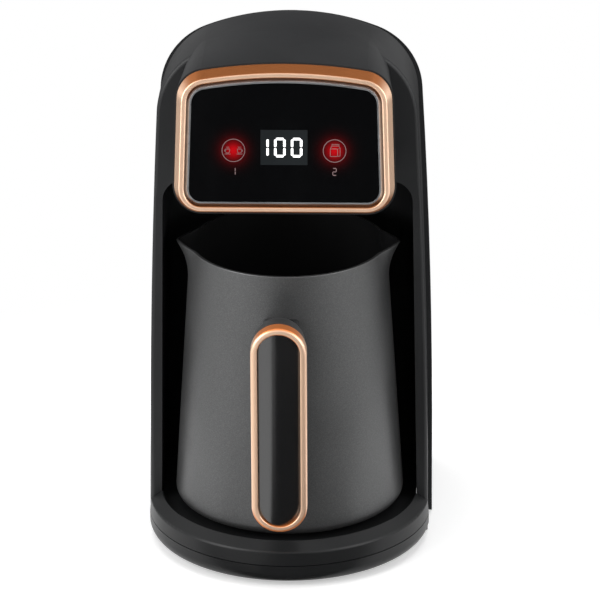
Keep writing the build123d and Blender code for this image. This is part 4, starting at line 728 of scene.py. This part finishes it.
def make_materials():
    """Every finish by the name of its slot in the record."""
    body = bpy.context.scene.coffee_body
    panel = bpy.context.scene.coffee_panel
    shell = tuple(body.shell_colour)
    base = tuple(body.base_colour)
    made = (
        plastic("shell_black", shell, 0.42, specular=0.30),
        plastic("rear_black", shell, 0.46, specular=0.18),
        plastic("base_black", base, 0.36, specular=0.26),
        plastic("inner_black", (0.012, 0.012, 0.012), 0.55),
        # The trim's and the ring's gold are copies of one gold that differ only in their painted reflection
        # colour.
        rose_gold("rose_gold", panel.painted_reflection_gold),
        rose_gold("ring_gold", panel.ring_painted_reflection_gold),
        brushed_metal("gunmetal", (0.46, 0.47, 0.48), 0.34),
        panel_glass(),
        plastic("print_grey", (0.22, 0.15, 0.15), 0.5, 1800.0, 0.01, 0.1),
        plastic("window_grey", (0.012, 0.0145, 0.016), 0.35, 1800.0, 0.004, 0.15),
        lit("digit_white", (1.0, 1.0, 1.0), 1.0),
        lit("red_light", (0.8, 0.02, 0.02), 0.8),
        circuit_board(),
        plastic("component_black", (0.018, 0.018, 0.018), 0.48),
        plastic("component_blue", (0.03, 0.08, 0.30), 0.42),
        plastic("component_yellow", (0.62, 0.45, 0.06), 0.45),
        plastic("terminal_green", (0.03, 0.30, 0.10), 0.42),
        brushed_metal("spring_steel", (0.60, 0.60, 0.61), 0.28),
        brushed_metal("screw_steel", (0.55, 0.55, 0.55), 0.30),
        cast_metal("plate_metal", (0.22, 0.22, 0.22), 0.42),
        brushed_metal("element_steel", (0.34, 0.31, 0.29), 0.42),
        brushed_metal("shield_steel", (0.60, 0.60, 0.60), 0.30),
        plastic("seal_rubber", (0.22, 0.035, 0.025), 0.62),
        plastic("foot_rubber", (0.018, 0.018, 0.018), 0.75, 1500.0, 0.05),
        insert_gloss(),
        pot_paint(),
        pot_inside(),
        plastic("handle_black", (0.010, 0.010, 0.011), 0.28, 2200.0, 0.004),
        plastic("wire_insulation", (0.62, 0.62, 0.58), 0.55),
        plastic("lens_dark", (0.03, 0.006, 0.012), 0.12, 1800.0, 0.002),
        brushed_metal("sensor_metal", (0.66, 0.66, 0.67), 0.26),
    )
    return {material.name: material for material in made}


# ---------------------------------------------------------------- operators
class COFFEE_OT_finishes(Operator):
    """Gives every carried-over part its finish"""

    bl_idname = "coffee.finishes"
    bl_label = "Finishes"

    def execute(self, context):
        make_groups()
        finishes = make_materials()
        for part in frame["record"]["subparts"]:
            for slot in frame["nodes"][part["node"]].material_slots:
                slot.material = finishes[PAINTED.get(part["node"], part["material_slot"])]
        return {"FINISHED"}


def lip_share(angle, half_angle):
    """How far a pouring lip stands out at an angle from its tip, 1 at the tip."""
    tip_round = 0.10
    narrowing = 1.02
    belly = 0.9
    offset = min(1.0, (sqrt((angle / half_angle) ** 2 + tip_round**2) - tip_round) * narrowing)
    return (1 - offset) ** 2 * (1 + belly * offset)


class COFFEE_OT_pot(Operator):
    """Models the pot with its two pouring lips"""

    bl_idname = "coffee.pot"
    bl_label = "Pot"

    closing_radius = 2 * MM  # face that closes the bottom
    pad_share = 0.6  # row under the pad, as a share of the pad's radius
    groove = 4 * MM  # flat strip round the pad
    foot_steps = 8
    wall_steps = 34
    crowding = 1.5  # over 1, the rows lie closer together towards the rim
    rim_round = 0.4 * MM
    rim_turn = 0.6  # radians; the rim's edges turn by more

    def wall_rows(self, pot):
        """Radius and height of the outside, from under the foot up to the rim."""
        foot = POT_LOW.z + pot.pad_height
        rim = POT_HIGH.z
        slope = (pot.foot_radius - pot.rim_radius) / (rim - foot)
        under = (self.closing_radius, pot.pad_radius * self.pad_share, pot.pad_radius)
        rows = [(radius, POT_LOW.z) for radius in under]
        rows += [(pot.pad_radius, foot), (pot.pad_radius + self.groove, foot)]
        for step in range(self.foot_steps + 1):
            turn = pi / 2 * step / self.foot_steps
            radius = pot.foot_radius - pot.foot_round + pot.foot_round * sin(turn)
            height = foot + pot.foot_round * (1 - cos(turn))
            rows.append((radius - slope * (height - foot), height))
        start = rows[-1][1]
        for step in range(1, self.wall_steps + 1):
            share = 1 - (1 - step / self.wall_steps) ** self.crowding
            height = start + (rim - start) * share
            rows.append((pot.foot_radius - slope * (height - foot), height))
        return rows

    def draw_lips(self, obj, pot):
        """Pulls the wall out to the two lips, right and left."""
        floor = POT_HIGH.z - pot.lip_depth
        for vertex in obj.data.vertices:
            if vertex.co.z <= floor:
                continue
            rise = ((vertex.co.z - floor) / pot.lip_depth) ** 2
            x, y = vertex.co.x - POT_MIDDLE.x, vertex.co.y - POT_MIDDLE.y
            radius = sqrt(x * x + y * y)
            angle = abs(atan2(y, abs(x)))
            out = pot.lip_reach * rise * lip_share(angle, pot.lip_angle)
            vertex.co.x += x / radius * out
            vertex.co.y += y / radius * out

    def execute(self, context):
        pot = context.scene.coffee_pot
        vessel = tower("pot_vessel_wall", POT_MIDDLE, self.wall_rows(pot), pot.sides)
        self.draw_lips(vessel, pot)
        edit(vessel)
        pick(vessel, "verts", lambda v: v.co.z <= POT_LOW.z + NEAR and v.is_boundary)
        bpy.ops.mesh.edge_face_add()
        face_outward()
        wall = max(bmesh.from_edit_mesh(vessel.data).faces, key=lambda f: f.calc_center_median().x)
        if wall.normal.x < 0:
            bpy.ops.mesh.flip_normals()
        close_edit()
        vessel.data.materials.append(bpy.data.materials["pot_steel"])
        vessel.data.materials.append(bpy.data.materials["pot_coat"])
        apply_modifier(
            vessel,
            "SOLIDIFY",
            thickness=pot.wall,
            offset=-1,
            use_even_offset=True,
            material_offset=1,
            material_offset_rim=0,
        )
        edit(vessel)
        top = POT_HIGH.z - NEAR

        def on_rim(edge):
            """Whether an edge is a corner of the rim."""
            return all(v.co.z > top for v in edge.verts) and edge.calc_face_angle(0) > self.rim_turn

        round_edges(vessel, on_rim, self.rim_round, 3)
        close_edit()
        alone(vessel)
        bpy.ops.object.shade_smooth_by_angle(angle=radians(35))
        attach(vessel, "pot")
        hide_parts("pot_vessel")
        return {"FINISHED"}


def flat_bar(middle_x, middle_y, width, height, thick, turn=0.0):
    """A flat bar with rounded ends, drawn in XY and standing up by its thickness."""
    end_round = 0.42  # as a share of the bar's width
    bpy.ops.object.select_all(action="DESELECT")
    bpy.ops.mesh.primitive_plane_add(size=1, location=(middle_x, middle_y, 0), rotation=(0, 0, turn))
    bar = bpy.context.object
    bar.scale = (width, height, 1)
    bpy.ops.object.transform_apply(location=True, rotation=True, scale=True)
    bpy.ops.object.mode_set(mode="EDIT")
    bpy.ops.mesh.select_all(action="SELECT")
    bpy.ops.mesh.bevel(offset=min(width, height) * end_round, segments=4, affect="VERTICES")
    bpy.ops.mesh.extrude_region_move(TRANSFORM_OT_translate={"value": (0, 0, thick)})
    close_edit()
    return bar


def joined(pieces, name):
    """Joins pieces into one object."""
    bpy.ops.object.select_all(action="DESELECT")
    for piece in pieces:
        piece.select_set(True)
    bpy.context.view_layer.objects.active = pieces[0]
    bpy.ops.object.join()
    return named(name)


def numeral(letters, middle_x, middle_y, width, height, stroke, thick):
    """Bars of one seven-bar numeral."""
    half_x = (width - stroke) / 2
    half_y = (height - stroke) / 2
    across = width - 1.55 * stroke
    upright = half_y - 0.45 * stroke
    places = {
        "a": (0, half_y, across, stroke),
        "b": (half_x, half_y / 2, stroke, upright),
        "c": (half_x, -half_y / 2, stroke, upright),
        "d": (0, -half_y, across, stroke),
        "e": (-half_x, -half_y / 2, stroke, upright),
        "f": (-half_x, half_y / 2, stroke, upright),
        "g": (0, 0, across, stroke),
    }
    bars = []
    for letter in letters:
        x, y, bar_width, bar_height = places[letter]
        bars.append(flat_bar(middle_x + x, middle_y + y, bar_width, bar_height, thick))
    return bars


class COFFEE_OT_display(Operator):
    """Models the lit digits of the display"""

    bl_idname = "coffee.display"
    bl_label = "Display"

    thick = 0.15 * MM

    def execute(self, context):
        panel = context.scene.coffee_panel
        size = (panel.digit_width, panel.digit_height, panel.digit_stroke)
        bars = []
        for cell, letters in ((-1, "bc"), (0, "abcdef"), (1, "abcdef")):
            x = cell * panel.digit_pitch + panel.digit_shift
            bars += numeral(letters, x, 0, *size, self.thick)
        digits = joined(bars, "lit_digits")
        digits.matrix_world = panel_matrix(0, panel.window_rise, -MODULE_SUNK)
        finish_piece(digits, "machine", "digit_white", ["display_digits"])
        return {"FINISHED"}


class COFFEE_OT_marks(Operator):
    """Models the printed rings, pictures and numerals of the two keys"""

    bl_idname = "coffee.marks"
    bl_label = "Key marks"

    thick = 0.06 * MM
    cup_line = 0.22 * MM
    steam_line = 0.16 * MM
    carton_line = 0.21 * MM
    carton_drop = 0.3 * MM
    cup_shifts = (-2.55 * MM, 2.65 * MM)  # the two cups beside their key's centre
    ring_sides = 72
    numeral_shape = 0.56  # width as a share of the height
    numeral_stroke = 0.36 * MM

    def strokes(self, x, y, points, width):
        """Lines through points given in millimetres about a key's centre."""
        lines = []
        for (ax, ay), (bx, by) in zip(points, points[1:]):
            middle = (x + (ax + bx) / 2 * MM, y + (ay + by) / 2 * MM)
            length = hypot(bx - ax, by - ay) * MM + width
            lines.append(flat_bar(*middle, length, width, self.thick, atan2(by - ay, bx - ax)))
        return lines

    def ring(self, x, y, radius, line):
        """Flat printed ring."""
        middle = Vector((x, y, 0))
        rows = [(radius, 0), (radius, self.thick), (radius - line, self.thick), (radius - line, 0)]
        return tower("ring", middle, rows, self.ring_sides)

    def cup(self, x, y, left):
        """Cup with a handle and steam."""
        side = -1 if left else 1
        bowl = [(-0.95, 0.55), (-0.85, -0.75), (-0.45, -1.15), (0.45, -1.15), (0.85, -0.75), (0.95, 0.55)]
        bowl.append(bowl[0])
        grip = [(side * 0.95, 0.25), (side * 1.4, 0.1), (side * 1.3, -0.45), (side * 0.85, -0.6)]
        saucer = [(-1.2, -1.6), (1.2, -1.6)]
        lines = []
        for points in (bowl, grip, saucer):
            lines += self.strokes(x, y, points, self.cup_line)
        for shift in (-0.5, 0.0, 0.5):
            steam = [(shift, 0.95), (shift + 0.12, 1.25), (shift, 1.6)]
            lines += self.strokes(x, y, steam, self.steam_line)
        return lines

    def carton(self, x, y):
        """Carton with a folded top, drawn with its side."""
        front = [(-1.9, 1.2), (-1.9, -2.1), (1.3, -2.1), (1.3, 1.2), (-1.9, 1.2)]
        side = [(1.3, -2.1), (2.4, -1.9), (2.4, 1.5), (1.3, 1.2)]
        roof = [(-1.9, 1.2), (-1.2, 2.5), (1.9, 2.5), (2.4, 1.5), (1.3, 1.2)]
        fold = [(-1.2, 2.5), (-1.2, 3.2), (1.9, 3.2), (1.9, 2.5)]
        lines = []
        for points in (front, side, roof, fold):
            lines += self.strokes(x, y, points, self.carton_line)
        return lines

    def execute(self, context):
        panel = context.scene.coffee_panel
        left, right = -panel.key_spread, panel.key_spread
        pieces = [self.ring(x, 0, panel.key_radius, panel.key_line) for x in (left, right)]
        for shift in self.cup_shifts:
            pieces += self.cup(left + shift, 0, shift < 0)
        pieces += self.carton(right, -self.carton_drop)
        size = (panel.mark_height * self.numeral_shape, panel.mark_height, self.numeral_stroke)
        for x, letters in ((left, "bc"), (right, "abged")):
            pieces += numeral(letters, x, -panel.mark_drop, *size, self.thick)
        marks = joined(pieces, "key_marks")
        marks.matrix_world = panel_matrix(0, panel.key_rise, -PRINT_SUNK)
        finish_piece(marks, "machine", "print_grey", ["panel_print"])
        return {"FINISHED"}


def upright_capsule(name, middle_x, low, high, width, front):
    """A flat upright capsule that faces the user, filled with one face."""
    sides = 96
    height = high - low
    middle_z = (high + low) / 2
    bpy.ops.object.select_all(action="DESELECT")
    bpy.ops.mesh.primitive_circle_add(
        vertices=sides,
        radius=width / 2,
        location=(middle_x, front, middle_z),
        rotation=(pi / 2, pi / sides, 0),
        fill_type="NGON",
    )
    obj = named(name)
    bpy.ops.object.transform_apply(location=True, rotation=True, scale=True)
    edit(obj)
    for sign in (-1, 1):
        pick(obj, "verts", lambda v: sign * (v.co.z - middle_z) > 0)
        bpy.ops.transform.translate(value=(0, 0, sign * (height - width) / 2))
    pick(obj, "faces", lambda f: True)
    return obj


def around(point, centre, width, margin):
    """True where a point lies within a margin outside a capsule of a width about a centre line."""
    low, high, x = centre
    z = min(max(point.z, low), high)
    return hypot(point.x - x, point.z - z) < width / 2 + margin


class COFFEE_OT_ring(Operator):
    """Models the gold ring round the front of the handle"""

    bl_idname = "coffee.ring"
    bl_label = "Handle ring"

    corner_turn = 0.5  # radians; the corners to round turn by more
    outer_margin = 0.3 * MM  # edges further than this from the opening are the outside's
    inner_margin = 0.05 * MM  # edges nearer than this to the opening are its own

    def execute(self, context):
        pot = context.scene.coffee_pot
        width = RING_HIGH.x - RING_LOW.x
        high = RING_HIGH.z - pot.ring_drop
        front, back = RING_LOW.y, RING_HIGH.y
        middle_x = (RING_HIGH.x + RING_LOW.x) / 2
        ring = upright_capsule("gold_ring", middle_x, RING_LOW.z, high, width, front)
        centre = (RING_LOW.z + width / 2, high - width / 2, middle_x)
        inner = width - 2 * pot.ring_width
        bpy.ops.mesh.inset(thickness=pot.ring_width, depth=0)
        bpy.ops.mesh.delete(type="ONLY_FACE")
        pick(ring, "faces", lambda f: True)
        bpy.ops.mesh.extrude_region_move(TRANSFORM_OT_translate={"value": (0, back - front, 0)})

        def corner(edge, inside, margin):
            """Whether a corner of the front lies round the opening, or else round the outside."""
            on_front = all(
                v.co.y < front + NEAR and around(v.co, centre, inner, margin) == inside
                for v in edge.verts
            )
            return on_front and edge.calc_face_angle(0) > self.corner_turn

        round_edges(ring, lambda e: corner(e, False, self.outer_margin), pot.ring_round, 8)
        round_edges(ring, lambda e: corner(e, True, self.inner_margin), pot.ring_lip, 4)
        face_outward()
        close_edit()
        # ring_gold has a brighter painted reflection colour than the trim's gold on faces that turn up or
        # down.
        finish_piece(ring, "pot", "ring_gold", ["handle_ring"], 50)
        apply_modifier(ring, "WEIGHTED_NORMAL", weight=100, keep_sharp=True)
        return {"FINISHED"}


class COFFEE_OT_insert(Operator):
    """Models the glossy insert of the handle, with its upright ridge"""

    bl_idname = "coffee.insert"
    bl_label = "Handle insert"

    cuts = 6  # on each side of the ridge

    def execute(self, context):
        pot = context.scene.coffee_pot
        width = INSERT_HIGH.x - INSERT_LOW.x
        high = INSERT_HIGH.z - pot.ring_drop
        middle_x = (INSERT_HIGH.x + INSERT_LOW.x) / 2
        insert = upright_capsule("glossy_insert", middle_x, INSERT_LOW.z, high, width, INSERT_HIGH.y)
        depth = INSERT_HIGH.y - INSERT_LOW.y
        bpy.ops.mesh.extrude_region_move(TRANSFORM_OT_translate={"value": (0, -depth, 0)})
        front = INSERT_LOW.y + NEAR
        ridge = Vector((middle_x - pot.insert_ridge, INSERT_LOW.y, (INSERT_LOW.z + high) / 2))
        middle_y = (INSERT_LOW.y + INSERT_HIGH.y) / 2
        for sign in (-1, 1):
            for cut in range(self.cuts, 0, -1):
                line = ridge + Vector((sign * pot.insert_round * cut / self.cuts, 0, 0))
                pick(insert, "faces", lambda f: all(v.co.y < front for v in f.verts))
                bpy.ops.mesh.bisect(plane_co=line, plane_no=(1, 0, 0), threshold=SAME)
                pick(insert, "verts", lambda v: v.co.y < middle_y and sign * (v.co.x - line.x) > SAME)
                bpy.ops.transform.rotate(
                    value=-sign * pot.insert_turn / self.cuts, orient_axis="Z", center_override=line
                )
        face_outward()
        close_edit()
        finish_piece(insert, "pot", "insert_gloss", ["handle_insert"])
        apply_modifier(insert, "WEIGHTED_NORMAL", weight=50, keep_sharp=True)
        return {"FINISHED"}


class COFFEE_OT_spring(Operator):
    """Copies the plate sensor's spring as it stands; in the machine it closes up as the cap sinks"""

    bl_idname = "coffee.spring"
    bl_label = "Sensor spring"

    def execute(self, context):
        spring = bpy.data.objects.new("closing_spring", frame["nodes"]["sensor_spring"].data.copy())
        context.scene.collection.objects.link(spring)
        edit(spring)
        bpy.ops.mesh.select_all(action="SELECT")
        bpy.ops.mesh.remove_doubles(threshold=SAME)
        close_edit()
        finish_piece(spring, "machine", "spring_steel", ["sensor_spring"])
        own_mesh(spring)
        return {"FINISHED"}


class COFFEE_OT_stage(Operator):
    """Sets up the floor, the lamps and the camera"""

    bl_idname = "coffee.stage"
    bl_label = "Stage"

    aim = (0, 0, 0.12)
    lamps = (  # name, place, size, power
        ("left_soft_box", (-1.1, -0.75, 0.75), (0.8, 1.2), 14),
        ("right_soft_box", (1.15, -0.65, 0.7), (0.8, 1.2), 8),
        ("top_soft_box", (0, 0.1, 1.5), (1.2, 1.0), 12),
    )
    flat = 0.0
    upright = pi / 2
    strip_y = -0.49  # strips on the floor in front of the machine
    strip_length = 0.82
    flags = (  # name, middle, lean, size, brightness
        ("middle_flag", (0.0, strip_y, 0.001), flat, (0.040, strip_length), 0.02),
        ("left_flag", (-0.15, strip_y, 0.001), flat, (0.26, strip_length), 0.76),
        ("right_flag", (0.080, strip_y, 0.001), flat, (0.12, strip_length), 0.02),
        ("far_right_flag", (0.25, strip_y, 0.001), flat, (0.22, strip_length), 0.30),
        ("near_flag", (0, -0.095, 0.0005), flat, (0.20, 0.06), 0.05),
        ("front_flag", (0, -1.5, 0.25), upright, (1.1, 0.7), 0.02),
        ("back_flag", (0, 1.3, 0.8), upright, (0.5, 1.7), 0.08),
        ("back_side_flag", (-0.98, 1.3, 0.8), upright, (1.46, 1.7), 0.34),
        ("back_side_flag", (0.98, 1.3, 0.8), upright, (1.46, 1.7), 0.34),
        ("back_floor_flag", (0, 0.7, 0.001), flat, (3.4, 1.2), 0.08),
        ("top_flag", (0, 0.35, 1.2), flat, (1.0, 1.1), 0.18),
    )
    floor_size = 8
    floor_lift = 0.41  # brightness that the floor gives out where it is seen
    fade_start = 0.14  # the floor fades to white between these distances from the middle
    fade_end = 0.30
    room_light = 0.42

    def mixed(self, tree, share, first, second):
        """Two shaders mixed by a share."""
        node = new_node(tree, "MixShader")
        for socket, source in zip(node.inputs, (share, first.outputs[0], second.outputs[0])):
            plug(socket, source)
        return node

    def floor_material(self, colour):
        """Pale floor that keeps the shadow and fades into a white background."""
        material, tree, shader = new_material("studio_floor")
        plug_in(shader, {"Base Color": (*colour, 1.0), "Roughness": 1.0, "Specular IOR Level": 0.0})
        seen = self.seen(tree)
        lift = new_node(tree, "Emission", {"Strength": maths(tree, "MULTIPLY", seen, self.floor_lift)})
        lifted = new_node(tree, "AddShader")
        plug(lifted.inputs[0], shader.outputs[0])
        plug(lifted.inputs[1], lift.outputs[0])
        far = self.mixed(tree, seen, shader, new_node(tree, "Emission"))
        gap = new_node(tree, "VectorMath", operation="LENGTH")
        plug(gap.inputs[0], object_coordinates(tree))
        fade = span(tree, gap.outputs["Value"], self.fade_start, self.fade_end)
        spread = self.mixed(tree, fade, lifted, far)
        plug(tree.nodes["Material Output"].inputs["Surface"], spread.outputs[0])
        return material

    def seen(self, tree):
        """1 for camera, glossy and transmission rays."""
        path = new_node(tree, "LightPath")
        both = maths(tree, "MAXIMUM", path.outputs["Is Camera Ray"], path.outputs["Is Glossy Ray"])
        return maths(tree, "MAXIMUM", both, path.outputs["Is Transmission Ray"])

    def world(self, scene):
        """Soft even light, white where it is seen."""
        world = bpy.data.worlds.new("studio")
        scene.world = world
        world.use_nodes = True
        tree = world.node_tree
        strength = span(tree, self.seen(tree), 0.0, 1.0, self.room_light, 1.0)
        plug_in(tree.nodes["Background"], {"Strength": strength, "Color": WHITE})

    def lamp(self, name, place, size, power):
        """One soft box that looks at the machine's middle."""
        data = bpy.data.lights.new(name, "AREA")
        data.shape = "RECTANGLE"
        data.size, data.size_y = size
        data.energy = power
        lamp = bpy.data.objects.new(name, data)
        bpy.context.scene.collection.objects.link(lamp)
        lamp.location = place
        lamp.rotation_mode = "QUATERNION"
        lamp.rotation_quaternion = (Vector(self.aim) - Vector(place)).to_track_quat("-Z", "Y")

    def flag(self, name, middle, lean, size, brightness):
        """A grey card that only reflections see."""
        bpy.ops.object.select_all(action="DESELECT")
        bpy.ops.mesh.primitive_plane_add(size=1, location=middle, rotation=(lean, 0, 0))
        card = named(name)
        card.scale = (*size, 1)
        material, tree, shader = new_material(name)
        dress = {
            "Base Color": BLACK,
            "Specular IOR Level": 0.0,
            "Roughness": 1.0,
            "Emission Color": WHITE,
            "Emission Strength": brightness,
        }
        plug_in(shader, dress)
        card.data.materials.append(material)
        card.visible_camera = False
        card.visible_diffuse = False
        card.visible_transmission = False
        card.visible_shadow = False

    def camera(self, scene, stage):
        """Camera at a distance from the arch's front face, turned to its aim."""
        target = Vector((0, ARCH_FRONT_Y, stage.target_height))
        azimuth, elevation = stage.azimuth, stage.elevation
        back = Vector((sin(azimuth) * cos(elevation), -cos(azimuth) * cos(elevation), sin(elevation)))
        right = Vector((cos(azimuth), sin(azimuth), 0))
        up = back.cross(right)
        rolled_right = right * cos(stage.roll) + up * sin(stage.roll)
        rolled_up = up * cos(stage.roll) - right * sin(stage.roll)
        place = target + back * stage.distance
        aim = target + rolled_right * stage.aim_right - rolled_up * stage.aim_down
        axis = (place - aim).normalized()
        side = (rolled_right - axis * rolled_right.dot(axis)).normalized()
        turn = Matrix((side, axis.cross(side), axis)).transposed().to_4x4()
        data = bpy.data.cameras.new("camera")
        data.lens = stage.lens
        data.sensor_width = 36.0
        data.clip_end = 50.0
        camera = bpy.data.objects.new("camera", data)
        scene.collection.objects.link(camera)
        camera.matrix_world = Matrix.Translation(place) @ turn
        scene.camera = camera

    def execute(self, context):
        scene = context.scene
        stage = scene.coffee_stage
        scene.view_settings.view_transform = "Standard"
        bpy.ops.object.select_all(action="DESELECT")
        bpy.ops.mesh.primitive_plane_add(size=self.floor_size, location=(0, 0, 0))
        floor = named("floor")
        floor.data.materials.append(self.floor_material(tuple(stage.floor_colour)))
        self.world(scene)
        for lamp in self.lamps:
            self.lamp(*lamp)
        for flag in self.flags:
            self.flag(*flag)
        self.camera(scene, stage)
        return {"FINISHED"}


class COFFEE_PT_panel(Panel):
    """Settings and steps of the coffee maker"""

    bl_idname = "COFFEE_PT_panel"
    bl_label = "Coffee maker"
    bl_space_type = "VIEW_3D"
    bl_region_type = "UI"
    bl_category = "Coffee maker"

    def draw(self, context):
        for group in SETTINGS.values():
            settings = getattr(context.scene, group)
            for key in settings.__annotations__:
                self.layout.prop(settings, key)
        for operator in OPERATORS:
            self.layout.operator(operator.bl_idname)


SETTINGS = {
    StageSettings: "coffee_stage",
    BodySettings: "coffee_body",
    PanelSettings: "coffee_panel",
    PotSettings: "coffee_pot",
}
OPERATORS = (
    COFFEE_OT_stage,
    COFFEE_OT_finishes,
    COFFEE_OT_pot,
    COFFEE_OT_ring,
    COFFEE_OT_insert,
    COFFEE_OT_spring,
    COFFEE_OT_display,
    COFFEE_OT_marks,
)


def register():
    for kind, name in SETTINGS.items():
        bpy.utils.register_class(kind)
        setattr(bpy.types.Scene, name, PointerProperty(type=kind))
    for operator in (*OPERATORS, COFFEE_PT_panel):
        bpy.utils.register_class(operator)


def unregister():
    for operator in reversed((*OPERATORS, COFFEE_PT_panel)):
        bpy.utils.unregister_class(operator)
    for kind, name in SETTINGS.items():
        delattr(bpy.types.Scene, name)
        bpy.utils.unregister_class(kind)


def main():
    register()
    bpy.ops.coffee.stage()
    bpy.ops.coffee.finishes()
    bpy.ops.coffee.pot()
    bpy.ops.coffee.ring()
    bpy.ops.coffee.insert()
    bpy.ops.coffee.spring()
    bpy.ops.coffee.display()
    bpy.ops.coffee.marks()


if __name__ == "__main__":
    main()
